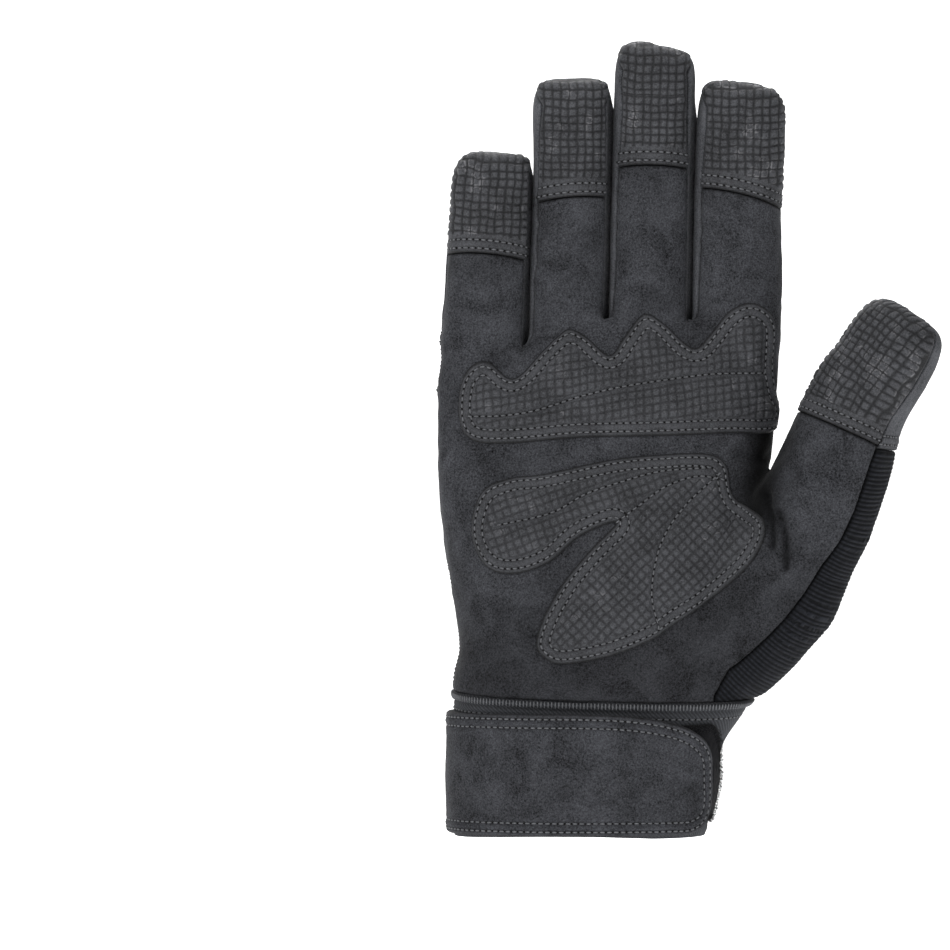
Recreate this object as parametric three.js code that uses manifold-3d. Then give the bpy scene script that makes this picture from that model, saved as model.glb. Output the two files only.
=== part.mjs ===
// A mechanic's work glove for the right hand, in the shape that it has when worn.
// Frame: millimetres, +Z from the wrist to the fingertips, palm facing -Y, thumb towards +X,
// origin at the centre of the wrist opening, in the plane of the hem.
// Every wall is the space between two forms of the same hand, one inside the other,
// and the panels are that space cut along the glove's seams.

import * as THREE from 'three';
import { mergeVertices } from 'three/addons/utils/BufferGeometryUtils.js';
import Module from 'manifold-3d';

const wasm = await Module();
wasm.setup();

// Driving dimensions

const palmWidth = 107;          // across the knuckles
const palmMiddle = 9.4;         // how far the palm's middle line lies towards the thumb
const palmHeight = 119;         // cuff seam to the crotch of the middle finger, on the palm side
const handDepth = 54;           // palm to back at the heel of the hand
const palmSquareness = 2.5;     // exponent of the palm's section, 2 for an ellipse

const fingerLength = 94.7;      // middle finger, from its root at the knuckles to its tip
const fingerWidth = 25;         // middle finger
const fingerDepth = 22;         // palm side to back side of a finger
const fingerCurl = 12;          // how far a middle fingertip leans towards the palm
const fingerSquareness = 2.4;   // exponent of a finger's section
const tipRadius = 9;            // rounding of a fingertip

const thumbReach = 71;          // base of the thumb to its tip, towards +X
const thumbRise = 112.3;        // base of the thumb to its tip, towards +Z
const thumbForward = 24;        // how far the tip lies towards the palm side
const thumbBaseRise = 4.9;      // where its middle line starts, above the cuff
const thumbWidth = 34;          // at the joint below the tip
const thumbDepth = 31;          // palm side to back side there
const thumbTurn = 32;           // degrees that the thumb's pad is turned towards the fingers
const thumbTipRadius = 12;

const crotchDrop = 13;          // from the palm side of a crotch down to its back side
const littleDrop = 9;           // the little finger's crotch lies this much lower

const cuffHeight = 43.6;
const cuffWidth = 78;           // at the hem
const cuffDepth = 52;
const cuffFlare = 14;           // the cuff's thumb side reaches this much further at its top
const cuffRiseToBack = 3.7;     // the cuff's top edge is higher at the back of the hand
const cuffFallToThumb = 2.6;    // and lower on the thumb side

const suedeWall = 1.8;          // walls, caps and cheeks of suede, and the knit, at the seams
const elasticWall = 1.8;
const gripProud = 0.5;          // the grip pieces stand this much above the suede
const padThickness = 2;
const seam = 0.3;               // clearance between pieces that are sewn together

const strapHeight = 37.5;
const strapAboveHem = 1;
const strapThickness = 2.2;
const strapEnd = 41.2;          // reach of the strap's free end towards the thumb side
const strapWrap = 20;           // degrees that its sewn end goes round the little-finger side
const strapEndRadius = 12;
const patchThickness = 1.2;     // hook tape under the strap's free end
const patchLength = 30;
const patchHeight = 30;

// Finishes

const finish = {
  palmSuede: new THREE.MeshStandardMaterial({ color: 0x3e3f43, roughness: 0.95, metalness: 0 }),
  backSuede: new THREE.MeshStandardMaterial({ color: 0x4f5054, roughness: 0.95, metalness: 0 }),
  grip: new THREE.MeshStandardMaterial({ color: 0x3b3c3f, roughness: 0.7, metalness: 0 }),
  knit: new THREE.MeshStandardMaterial({ color: 0x1d1e22, roughness: 0.9, metalness: 0 }),
  elastic: new THREE.MeshStandardMaterial({ color: 0x47484c, roughness: 0.85, metalness: 0 }),
  hookTape: new THREE.MeshStandardMaterial({ color: 0x17181a, roughness: 0.9, metalness: 0 }),
};

// Closed solids

const outside = 60;             // cutters reach this far past the glove
const { smoothstep, lerp, clamp, degToRad } = THREE.MathUtils;

function solidFrom(geometry) {
  geometry.deleteAttribute('normal');
  geometry.deleteAttribute('uv');
  const welded = mergeVertices(geometry, 1e-4);
  return new wasm.Manifold(new wasm.Mesh({
    numProp: 3,
    vertProperties: Float32Array.from(welded.attributes.position.array),
    triVerts: Uint32Array.from(welded.index.array),
  }));
}

// A solid through rings of equally many points, closed by a fan at both ends.
function loft(rings) {
  const around = rings[0].length;
  const positions = rings.flat().flatMap((point) => point.toArray());
  const middleOf = (ring) => ring
    .reduce((sum, point) => sum.add(point), new THREE.Vector3())
    .divideScalar(around);
  const first = rings.length * around;
  positions.push(...middleOf(rings[0]).toArray(), ...middleOf(rings.at(-1)).toArray());
  const faces = [];
  for (let ring = 0; ring < rings.length - 1; ring += 1) {
    for (let side = 0; side < around; side += 1) {
      const next = (side + 1) % around;
      const low = ring * around;
      const high = low + around;
      faces.push(low + side, low + next, high + next);
      faces.push(low + side, high + next, high + side);
    }
  }
  const top = (rings.length - 1) * around;
  for (let side = 0; side < around; side += 1) {
    const next = (side + 1) % around;
    faces.push(first, next, side);
    faces.push(first + 1, top + side, top + next);
  }
  const geometry = new THREE.BufferGeometry();
  geometry.setAttribute('position', new THREE.Float32BufferAttribute(positions, 3));
  geometry.setIndex(faces);
  return solidFrom(geometry);
}

// A curved sheet with a wall: place(along, up, out) gives its points, each share from 0 to 1.
function sheet(steps, rows, place) {
  const positions = [];
  const index = (i, j, side) => (side * (steps + 1) + i) * (rows + 1) + j;
  for (const side of [0, 1]) {
    for (let i = 0; i <= steps; i += 1) {
      for (let j = 0; j <= rows; j += 1) {
        positions.push(...place(i / steps, j / rows, side).toArray());
      }
    }
  }
  const faces = [];
  const quad = (a, b, c, d) => faces.push(a, b, c, a, c, d);
  for (let i = 0; i < steps; i += 1) {
    for (let j = 0; j < rows; j += 1) {
      quad(index(i, j, 1), index(i + 1, j, 1), index(i + 1, j + 1, 1), index(i, j + 1, 1));
      quad(index(i, j, 0), index(i, j + 1, 0), index(i + 1, j + 1, 0), index(i + 1, j, 0));
    }
    quad(index(i, 0, 0), index(i + 1, 0, 0), index(i + 1, 0, 1), index(i, 0, 1));
    quad(index(i, rows, 1), index(i + 1, rows, 1), index(i + 1, rows, 0), index(i, rows, 0));
  }
  for (let j = 0; j < rows; j += 1) {
    quad(index(0, j, 0), index(0, j, 1), index(0, j + 1, 1), index(0, j + 1, 0));
    quad(index(steps, j, 1), index(steps, j, 0), index(steps, j + 1, 0), index(steps, j + 1, 1));
  }
  const geometry = new THREE.BufferGeometry();
  geometry.setAttribute('position', new THREE.Float32BufferAttribute(positions, 3));
  geometry.setIndex(faces);
  return solidFrom(geometry);
}

// Moves each point of a closed outline outwards.
function outset(points, distance) {
  const clockwise = THREE.ShapeUtils.area(points) < 0;
  return points.map((point, i) => {
    const before = points.at(i - 1);
    const after = points[(i + 1) % points.length];
    const along = after.clone().sub(before).normalize();
    const out = new THREE.Vector2(along.y, -along.x).multiplyScalar(clockwise ? -1 : 1);
    return point.clone().addScaledVector(out, distance);
  });
}

// A prism along Y over an outline seen from the palm, with x across and z up.
function prism(points, from, to, grow = 0) {
  const edge = grow ? outset(points, grow) : points;
  const geometry = new THREE.ExtrudeGeometry(new THREE.Shape(edge), {
    depth: to - from + 2 * grow,
    bevelEnabled: false,
  });
  geometry.rotateX(Math.PI / 2);
  geometry.translate(0, to + grow, 0);
  return solidFrom(geometry);
}

// A closed smooth outline through hand-placed points.
function smoothOutline(points, steps) {
  const curve = new THREE.CatmullRomCurve3(
    points.map(([x, z]) => new THREE.Vector3(x, z, 0)),
    true,
    'centripetal',
  );
  return curve.getPoints(steps).slice(0, -1).map(({ x, y }) => new THREE.Vector2(x, y));
}

const outline = (points) => points.map(([x, z]) => new THREE.Vector2(x, z));

// Places on the hand

const halfPalm = palmWidth / 2;
const halfDepth = handDepth / 2;
const cuffTop = cuffHeight;
const fingerRoot = cuffTop + palmHeight - crotchDrop;

// A place on the palm: share of the half width from the middle line, share of the palm's height.
const onPalm = (across, up) => [palmMiddle + across * halfPalm, cuffTop + up * palmHeight];

// The superellipse's point at an angle, in shares of its half axes.
function roundedPoint(angle, squareness) {
  const power = 2 / squareness;
  const x = Math.sign(Math.cos(angle)) * Math.abs(Math.cos(angle)) ** power;
  const y = Math.sign(Math.sin(angle)) * Math.abs(Math.sin(angle)) ** power;
  return [x, y];
}

// Palm form. up: share of the palm's height; little, thumb: the two side edges, shares of the
// half width; palm, back: the two faces, shares of the half depth.
const palmRows = [
  { up: -0.12, little: -0.905, thumb: 0.830, palm: 1.00, back: 0.96 },
  { up: 0.00, little: -0.905, thumb: 0.815, palm: 1.00, back: 0.96 },
  { up: 0.12, little: -0.870, thumb: 0.790, palm: 1.00, back: 0.85 },
  { up: 0.26, little: -0.915, thumb: 0.800, palm: 0.96, back: 0.79 },
  { up: 0.39, little: -0.955, thumb: 0.865, palm: 0.89, back: 0.75 },
  { up: 0.54, little: -0.990, thumb: 0.910, palm: 0.77, back: 0.70 },
  { up: 0.69, little: -1.000, thumb: 0.955, palm: 0.62, back: 0.64 },
  { up: 0.82, little: -1.000, thumb: 0.985, palm: 0.52, back: 0.55 },
  { up: 0.89, little: -1.000, thumb: 1.000, palm: 0.45, back: 0.46 },
  { up: 0.94, little: -0.990, thumb: 0.985, palm: 0.37, back: 0.35 },
];
const palmAround = 24;
const topRow = palmRows.at(-1).up;

// The crotches slope down towards the back of the hand and towards the little finger.
function crotchShift(x, y, up) {
  const share = smoothstep(up, 0.6, topRow);
  const [littleSide] = onPalm(-0.5, 0);
  const [ringSide] = onPalm(-0.2, 0);
  const drop = littleDrop * (1 - smoothstep(x, littleSide, ringSide));
  return share * (-crotchDrop * (y / fingerDepth) - drop);
}

function palmForm(offset) {
  return loft(palmRows.map(({ up, little, thumb, palm, back }) => {
    const middle = palmMiddle + ((little + thumb) / 2) * halfPalm;
    const halfWidth = ((thumb - little) / 2) * halfPalm + offset;
    const ring = [];
    for (let i = 0; i < palmAround; i += 1) {
      const [across, through] = roundedPoint((i / palmAround) * 2 * Math.PI, palmSquareness);
      const x = middle + across * halfWidth;
      const y = through * ((through < 0 ? palm : back) * halfDepth + offset);
      const lift = up === topRow ? offset : 0;
      ring.push(new THREE.Vector3(x, y, cuffTop + up * palmHeight + crotchShift(x, y, up) + lift));
    }
    return ring;
  }));
}

// Fingers. length: share of fingerLength; root, middle, tip: places of the middle line, shares of
// the palm's half width; rootWidth, tipWidth: shares of fingerWidth.
// capEdge: lower edge of the back cap, as share of the length on its little side and thumb side;
// gripEdge: the same for the grip piece on the palm side.
const fingers = [
  {
    name: 'little', length: 0.655, root: -0.742, middle: -0.700, tip: -0.662,
    rootWidth: 1.09, tipWidth: 0.98, capEdge: [0.07, 0.30], gripEdge: [0.50, 0.46],
  },
  {
    name: 'ring', length: 0.892, root: -0.247, middle: -0.212, tip: -0.217,
    rootWidth: 0.97, tipWidth: 1.00, capEdge: [0.26, 0.39], gripEdge: [0.55, 0.57],
  },
  {
    name: 'middle', length: 1.000, root: 0.234, middle: 0.243, tip: 0.266,
    rootWidth: 1.01, tipWidth: 1.01, capEdge: [0.39, 0.31], gripEdge: [0.605, 0.60],
  },
  {
    name: 'index', length: 0.880, root: 0.742, middle: 0.745, tip: 0.760,
    rootWidth: 1.12, tipWidth: 1.05, capEdge: [0.42, 0.36], gripEdge: [0.615, 0.545],
  },
];

// Stations along a digit. size: share of its width and depth.
const fingerRows = [
  { along: -0.12, size: 0.86 },
  { along: 0.06, size: 1.00 },
  { along: 0.34, size: 0.99 },
  { along: 0.62, size: 0.99 },
];
// The round end of a digit. below: share of the tip radius below the very tip.
const tipRows = [
  { below: 1.00, width: 1.00, depth: 1.00 },
  { below: 0.42, width: 0.93, depth: 0.89 },
  { below: 0.12, width: 0.76, depth: 0.66 },
  { below: 0.00, width: 0.52, depth: 0.36 },
];
const digitAround = 12;

// The direction across a digit that points to the back of the hand.
function towardsBack(forward) {
  return new THREE.Vector3(0, 1, 0).addScaledVector(forward, -forward.y).normalize();
}

function fingerSections(finger) {
  const length = finger.length * fingerLength;
  const [root, middle, tip] = [finger.root, finger.middle, finger.tip]
    .map((share) => palmMiddle + share * halfPalm);
  const start = finger.name === 'little' ? fingerRoot - littleDrop / 3 : fingerRoot;
  const curl = (along) => -fingerCurl * (Math.max(along, 0) * finger.length) ** 2;
  const point = (along) => new THREE.Vector3(
    lerp(lerp(root, middle, along), lerp(middle, tip, along), along),
    curl(along),
    start + along * (fingerRoot + length - start),
  );
  const stations = [
    ...fingerRows.map(({ along, size }) => ({ along, width: size, depth: size })),
    ...tipRows.map(({ below, width, depth }) => {
      const along = 1 - (below * tipRadius) / length;
      return { along, width, depth };
    }),
  ];
  const step = 0.01;
  return stations.map(({ along, width, depth }) => {
    const forward = point(along + step).sub(point(along - step)).normalize();
    const through = towardsBack(forward);
    const widthHere = fingerWidth * lerp(finger.rootWidth, finger.tipWidth, clamp(along, 0, 1));
    return {
      centre: point(along),
      forward,
      across: through.clone().cross(forward),
      through,
      halfWidth: (widthHere * width) / 2,
      halfDepth: (fingerDepth * depth) / 2,
    };
  });
}

// Thumb. reach, rise, ahead: the middle line's place from the thumb's base, shares of thumbReach,
// thumbRise and thumbForward; width, depth: shares of thumbWidth and thumbDepth.
// outer, web: where the back seams lie on the two sides, as shares of the half depth.
const thumbRows = [
  { reach: 0.00, rise: 0.00, ahead: 0.10, width: 0.85, depth: 0.95, outer: -0.90, web: 0.40 },
  { reach: 0.20, rise: 0.11, ahead: 0.22, width: 1.17, depth: 1.16, outer: -0.85, web: 0.30 },
  { reach: 0.39, rise: 0.25, ahead: 0.40, width: 1.26, depth: 1.20, outer: -0.78, web: 0.15 },
  { reach: 0.49, rise: 0.36, ahead: 0.50, width: 1.17, depth: 1.10, outer: -0.66, web: 0.10 },
  { reach: 0.59, rise: 0.47, ahead: 0.60, width: 1.10, depth: 1.03, outer: -0.57, web: 0.10 },
  { reach: 0.70, rise: 0.65, ahead: 0.78, width: 0.97, depth: 1.00, outer: -0.50, web: 0.10 },
  { reach: 0.75, rise: 0.74, ahead: 0.85, width: 0.87, depth: 0.98, outer: -0.30, web: 0.10 },
];
const thumbBase = [onPalm(0.404, 0)[0], cuffTop + thumbBaseRise];
const thumbTipWidth = 0.82;     // shares of thumbWidth and thumbDepth at the round end
const thumbTipDepth = 0.90;
const tipSeamRise = 0.15;       // the outer seam climbs this share of the half depth to the tip
const thumbCapEdge = [0.625, 0.665];   // shares of the rise, on the outer and the web side
const thumbGripEdge = [0.60, 0.76];

function thumbSections() {
  const place = (reach, rise, ahead) => new THREE.Vector3(
    thumbBase[0] + reach * thumbReach,
    -ahead * thumbForward,
    thumbBase[1] + rise * thumbRise,
  );
  const tip = place(1, 1, 1);
  const last = thumbRows.at(-1);
  const lastPlace = place(last.reach, last.rise, last.ahead);
  const reach = tip.clone().sub(lastPlace);
  const tipStations = tipRows.map(({ below, width, depth }) => ({
    centre: tip.clone().addScaledVector(reach.clone().normalize(), -below * thumbTipRadius),
    halfWidth: (thumbTipWidth * thumbWidth * width) / 2,
    halfDepth: (thumbTipDepth * thumbDepth * depth) / 2,
    outer: last.outer + tipSeamRise,
    web: last.web,
  }));
  const stations = [
    ...thumbRows.map(({ reach: x, rise, ahead, width, depth, outer, web }) => ({
      centre: place(x, rise, ahead),
      halfWidth: (width * thumbWidth) / 2,
      halfDepth: (depth * thumbDepth) / 2,
      outer,
      web,
    })),
    ...tipStations,
  ];
  const turn = degToRad(thumbTurn);
  return stations.map((station, i) => {
    const before = stations[Math.max(i - 1, 0)].centre;
    const after = stations[Math.min(i + 1, stations.length - 1)].centre;
    const forward = after.clone().sub(before).normalize();
    const through = towardsBack(forward).applyAxisAngle(forward, -turn);
    return { ...station, forward, across: through.clone().cross(forward), through };
  });
}

// A point of a digit's section, given across and through in millimetres.
const inSection = (section, across, through) => section.centre.clone()
  .addScaledVector(section.across, across)
  .addScaledVector(section.through, through);

function digitForm(sections, offset) {
  return loft(sections.map((section, i) => {
    const ring = [];
    const lift = i === sections.length - 1 ? offset : 0;
    for (let k = 0; k < digitAround; k += 1) {
      const [across, through] = roundedPoint((k / digitAround) * 2 * Math.PI, fingerSquareness);
      const point = inSection(
        section,
        across * (section.halfWidth + offset),
        through * (section.halfDepth + offset),
      );
      ring.push(point.addScaledVector(section.forward, lift));
    }
    return ring;
  }));
}

// A cutter that follows a digit: corners(section) gives four places in each section.
function digitCutter(sections, corners, pastTip = 0, beforeBase = 0) {
  const rings = sections.map((section) => corners(section).map(([u, v]) => inSection(section, u, v)));
  if (beforeBase > 0) {
    rings.unshift(rings[0].map((point) => point.clone().addScaledVector(sections[0].forward, -beforeBase)));
  }
  if (pastTip > 0) {
    const last = sections.at(-1);
    rings.push(rings.at(-1).map((point) => point.clone().addScaledVector(last.forward, pastTip)));
  }
  return loft(rings);
}

// A cutter's faces lie just clear of a digit's wall.
const cutterMargin = 3;
const clearOf = (section) => section.halfDepth + cutterMargin + 1;

const fingerParts = fingers.map((finger) => ({ ...finger, sections: fingerSections(finger) }));
const thumb = thumbSections();

// Everything above the cuff's slanted top edge, which climbs to the back and falls to the thumb.
function aboveCuff(clearance) {
  const height = (x, y) => cuffTop + clearance
    + (cuffRiseToBack * y) / handDepth
    - (cuffFallToThumb * (x - palmMiddle)) / palmWidth;
  const far = 2 * palmWidth;
  const corners = [[-far, -far], [far, -far], [far, far], [-far, far]];
  return loft([
    corners.map(([x, y]) => new THREE.Vector3(x, y, height(x, y))),
    corners.map(([x, y]) => new THREE.Vector3(x, y, 3 * (palmHeight + fingerLength))),
  ]);
}

const overCuff = aboveCuff(seam);
const forms = new Map();

// The whole hand, moved outwards by an offset. It goes down into the cuff.
function handForm(offset) {
  if (!forms.has(offset)) {
    const digits = [...fingerParts.map(({ sections }) => sections), thumb];
    const whole = digits.reduce(
      (sum, sections) => sum.add(digitForm(sections, offset)),
      palmForm(offset),
    );
    forms.set(offset, whole);
  }
  return forms.get(offset);
}

const layer = (inner, outer) => handForm(outer).intersect(overCuff).subtract(handForm(inner));
const wall = layer(-suedeWall, 0);
const gripWall = layer(-suedeWall, gripProud);

// Panels, as regions of the hand. Each takes a grow distance, so that its neighbours stay clear.

// The cheek between two fingers: both facing sides, and the tongue that goes down over the crotch.
const cheekShare = { root: 0.46, tip: 0.16 };   // half its width, as shares of a finger's half depth
const tongueInset = 3.2;        // from the finger's side to the tongue's edge
const tongueBottom = 2.5;       // below the finger's root
const tongueTop = 12;           // above it
const tongueFront = -fingerDepth / 5;   // the tongue's cut starts here, inside the crotch
// The tongue's rounded end. down: above its bottom; across: inwards from its edge, or from its
// middle outwards.
const tongueRound = { down: 8, edgeIn: 0.4, tipDown: 1.4, tipOut: 2.4 };

function cheekRegion(left, right, grow) {
  const band = (section, side) => {
    const towardsTip = smoothstep(section.centre.z, fingerRoot, fingerRoot + fingerLength);
    const half = lerp(cheekShare.root, cheekShare.tip, towardsTip) * section.halfDepth + grow;
    const reach = side * (fingerWidth / 2 + cutterMargin / 2);
    const [low, high] = side > 0 ? [0, reach] : [reach, 0];
    return [[low, -half], [high, -half], [high, half], [low, half]];
  };
  const sides = [[left, 1], [right, -1]].map(([finger, side]) => digitCutter(
    [1, 3, 5].map((station) => finger.sections[station]),
    (section) => band(section, side),
  ));
  const [leftX, rightX] = [left, right].map(({ root }) => palmMiddle + root * halfPalm);
  const leftEdge = leftX + (left.rootWidth * fingerWidth) / 2 - tongueInset - grow;
  const rightEdge = rightX - (right.rootWidth * fingerWidth) / 2 + tongueInset + grow;
  const crotch = (leftEdge + rightEdge) / 2;
  const drop = left.name === 'little' ? littleDrop : 0;
  const bottom = fingerRoot - tongueBottom - drop - grow;
  const top = fingerRoot + tongueTop;
  const { down, edgeIn, tipDown, tipOut } = tongueRound;
  const tongue = prism(outline([
    [leftEdge, top],
    [leftEdge + edgeIn, bottom + down],
    [crotch - tipOut, bottom + tipDown],
    [crotch, bottom],
    [crotch + tipOut, bottom + tipDown],
    [rightEdge - edgeIn, bottom + down],
    [rightEdge, top],
  ]), tongueFront, outside);
  return sides[0].add(sides[1]).add(tongue);
}

// A region above a slanting, slightly arched edge across one finger. It stops before the next one.
const edgeArch = 1;

function aboveEdge(finger, edge, grow) {
  const x = palmMiddle + finger.middle * halfPalm;
  const atTheSide = finger.name === 'index' || finger.name === 'little';
  const reach = atTheSide ? fingerWidth : fingerWidth * 0.54;
  const height = (share) => fingerRoot + share * finger.length * fingerLength - grow;
  const slope = (height(edge[1]) - height(edge[0])) / fingerWidth;
  const top = fingerRoot + 2 * fingerLength;
  const middle = (height(edge[0]) + height(edge[1])) / 2;
  return prism(outline([
    [x - reach, middle - slope * reach],
    [x, middle + edgeArch],
    [x + reach, middle + slope * reach],
    [x + reach, top],
    [x - reach, top],
  ]), -outside, outside);
}

const wrap = 0.7;               // where the suede that wraps the index finger ends on its back

// Seams follow a finger from these of its stations only.
const seamStations = (finger) => [0, 2, 4, 7].map((station) => finger.sections[station]);

function backOf(finger, grow) {
  return digitCutter(seamStations(finger), (section) => {
    const left = -section.halfWidth - cutterMargin / 3 - grow;
    const right = finger.name === 'index' ? wrap * section.halfWidth + grow : -left;
    const deep = clearOf(section);
    return [[left, -grow], [right, -grow], [right, deep], [left, deep]];
  }, fingerWidth);
}

function frontOf(finger, grow) {
  return digitCutter(seamStations(finger), (section) => {
    const reach = section.halfWidth + cutterMargin / 3 + grow;
    const deep = clearOf(section);
    return [[-reach, -deep], [reach, -deep], [reach, grow], [-reach, grow]];
  }, fingerWidth);
}

const capRegion = (finger, grow) => backOf(finger, grow).intersect(aboveEdge(finger, finger.capEdge, grow));
const gripRegion = (finger, grow) => frontOf(finger, grow).intersect(aboveEdge(finger, finger.gripEdge, grow));

// The thumb's back, between its outer seam and its web seam.
const thumbSeamStations = [0, 2, 4, 5, 6, 8, 10].map((station) => thumb[station]);

function thumbBack(grow) {
  return digitCutter(thumbSeamStations, (section) => {
    const reach = section.halfWidth + cutterMargin + grow;
    const outer = section.outer * section.halfDepth - grow;
    const web = section.web * section.halfDepth - grow;
    const deep = clearOf(section);
    return [[-reach, web], [reach, outer], [reach, deep], [-reach, deep]];
  }, thumbWidth, thumbWidth / 2);
}

function thumbFront(grow) {
  return digitCutter(thumbSeamStations.slice(2), (section) => {
    const reach = section.halfWidth + cutterMargin + grow;
    const outer = section.outer * section.halfDepth + grow;
    const web = section.web * section.halfDepth + grow;
    const deep = clearOf(section);
    return [[-reach, -deep], [reach, -deep], [reach, outer], [-reach, web]];
  }, thumbWidth);
}

// The part of the thumb above a slanting edge, given on its outer and its web side.
function aboveThumbEdge([outer, web], grow) {
  const spot = (rise, side) => [
    thumbBase[0] + (rise + 0.04) * thumbReach + side * 0.75 * thumbWidth,
    thumbBase[1] + rise * thumbRise - grow,
  ];
  const [outerX, outerZ] = spot(outer, 1);
  const [webX, webZ] = spot(web, -1);
  return prism(outline([
    [webX, webZ],
    [outerX, outerZ],
    [outerX + outside, outerZ],
    [outerX + outside, outerZ + 2 * outside],
    [webX, outerZ + 2 * outside],
  ]), -outside, outside);
}

// Seams of the knitted back, seen from the palm, in shares of the palm's half width and height.
const crescentSeam = [
  [-1.01, 0.82], [-0.86, 0.72], [-0.80, 0.60], [-0.80, 0.48], [-0.88, 0.36], [-1.01, 0.27],
];
const indexSeam = [
  [0.925, 1.00], [0.925, 0.89], [0.895, 0.77], [0.86, 0.64],
  [0.845, 0.52], [0.89, 0.41], [1.00, 0.32], [1.13, 0.26],
];
const thumbSeam = [[1.13, 0.26], [1.05, 0.15], [0.94, 0.05], [0.815, -0.02]];
const thumbPalmLine = [[0.60, -0.2], [0.60, 0.0], [0.82, 0.2], [1.0, 0.36], [1.1, 0.5], [1.1, 1.2]];

// Corners of a region that lie clear of the glove, in the same shares.
const past = { side: 3, below: -0.3, above: 1.6 };

const palmRegion = (places, from, to, grow) => prism(
  outline(places.map(([across, up]) => onPalm(across, up))),
  from,
  to,
  grow,
);

function backRegion() {
  const [crescentTop, crescentEnd] = [crescentSeam[0], crescentSeam.at(-1)];
  return palmRegion([
    [-past.side, past.above],
    [-past.side, crescentTop[1]],
    ...crescentSeam,
    [-past.side, crescentEnd[1]],
    [-past.side, past.below],
    [thumbSeam.at(-1)[0], past.below],
    ...thumbSeam.toReversed(),
    ...indexSeam.toReversed().slice(1),
    [indexSeam[0][0], past.above],
  ], 0, outside, 0);
}

// The thumb's knit stays on its side of the back seam, and of a looser line on the palm side.
function thumbKnitSide(grow) {
  const outerCorners = [[past.side, past.above], [past.side, past.below]];
  const besideCap = [[1.08, 0.32], [1.0, 0.45], [1.0, past.above]];
  const seamEnd = [thumbSeam.at(-1)[0], past.below];
  const behind = palmRegion(
    [...thumbSeam.toReversed(), ...besideCap, ...outerCorners, seamEnd],
    -seam,
    outside,
    grow,
  );
  const ahead = palmRegion([...thumbPalmLine, ...outerCorners], -outside, 0, grow);
  return behind.add(ahead);
}

const thumbKnitRegion = (grow) => thumbBack(grow).intersect(thumbKnitSide(grow));
const thumbCapRegion = (grow) => thumbBack(grow).intersect(aboveThumbEdge(thumbCapEdge, grow));
const thumbGripRegion = (grow) => thumbFront(grow).intersect(aboveThumbEdge(thumbGripEdge, grow));

// Pads, seen from the palm, in shares of the palm's half width and height.
const knucklePadEdge = [
  [-0.56, 0.823], [-0.40, 0.890], [-0.300, 0.935], [-0.230, 0.953], [-0.13, 0.930], [-0.007, 0.884],
  [0.07, 0.925], [0.163, 0.981], [0.224, 0.993], [0.318, 0.965], [0.478, 0.903],
  [0.58, 0.940], [0.686, 0.998], [0.809, 1.022], [0.918, 1.000], [0.957, 0.955],
  [0.945, 0.850], [0.962, 0.780], [0.955, 0.690], [0.67, 0.682], [0.285, 0.675], [-0.175, 0.670],
  [-0.60, 0.655], [-0.80, 0.665], [-0.87, 0.72], [-0.86, 0.81], [-0.80, 0.858], [-0.70, 0.868],
];
const heelPadEdge = [
  [-0.383, 0.576], [-0.022, 0.611], [0.285, 0.626], [0.564, 0.628], [0.671, 0.597], [0.690, 0.543],
  [0.718, 0.511], [0.794, 0.490], [0.876, 0.459], [0.878, 0.410], [0.794, 0.341], [0.594, 0.258],
  [0.363, 0.188], [0.224, 0.147], [-0.022, 0.105], [-0.284, 0.085], [-0.390, 0.105], [-0.430, 0.140],
  [-0.383, 0.210], [-0.267, 0.300], [-0.114, 0.382], [0.03, 0.451],
  [-0.176, 0.416], [-0.353, 0.348], [-0.56, 0.318], [-0.72, 0.34],
  [-0.80, 0.43], [-0.74, 0.53], [-0.58, 0.565],
];

const padLayer = layer(seam, seam + padThickness);
const padSteps = 44;

function pad(edge) {
  const points = smoothOutline(edge.map(([across, up]) => onPalm(across, up)), padSteps);
  return padLayer.intersect(prism(points, -outside, -seam));
}

// Cuff and strap

// Cuff form. up: share of the cuff's height; flare: share of cuffFlare; depth: share of cuffDepth.
const cuffRows = [
  { up: 0.00, flare: 0.00, depth: 1.00 },
  { up: 0.30, flare: 0.20, depth: 1.00 },
  { up: 0.62, flare: 0.38, depth: 1.01 },
  { up: 0.85, flare: 0.82, depth: 1.02 },
  { up: 1.12, flare: 1.42, depth: 1.03 },
];
const cuffAround = 26;

// The cuff's half axes and middle at a height above the hem, at a distance outside its face.
function cuffSection(z, offset) {
  const up = z / cuffHeight;
  const next = Math.max(1, cuffRows.findIndex((row) => row.up >= up));
  const [low, high] = [cuffRows[next - 1], cuffRows[next]];
  const share = (up - low.up) / (high.up - low.up);
  const flare = lerp(low.flare, high.flare, share) * cuffFlare;
  return {
    middle: flare / 2,
    halfWidth: (cuffWidth + flare) / 2 + offset,
    halfDepth: (lerp(low.depth, high.depth, share) * cuffDepth) / 2 + offset,
  };
}

function cuffPoint(angle, z, offset) {
  const { middle, halfWidth, halfDepth: half } = cuffSection(z, offset);
  const [across, through] = roundedPoint(angle, palmSquareness);
  return new THREE.Vector3(middle + across * halfWidth, through * half, z);
}

function cuffForm(offset, margin) {
  return loft(cuffRows.map(({ up }, i) => {
    const ring = [];
    for (let k = 0; k < cuffAround; k += 1) {
      const point = cuffPoint((k / cuffAround) * 2 * Math.PI, up * cuffHeight, offset);
      point.z -= i === 0 ? margin : 0;
      ring.push(point);
    }
    return ring;
  }));
}

const cuff = cuffForm(0, 0).subtract(cuffForm(-elasticWall, 1)).subtract(aboveCuff(0));

// The angle on the cuff's section where a face at this offset reaches a given x, on the palm side.
function angleAt(x, z, offset) {
  const { middle, halfWidth } = cuffSection(z, offset);
  const share = Math.min((x - middle) / halfWidth, 0.995);
  return -Math.acos(Math.max(share, 0) ** (palmSquareness / 2));
}

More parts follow.
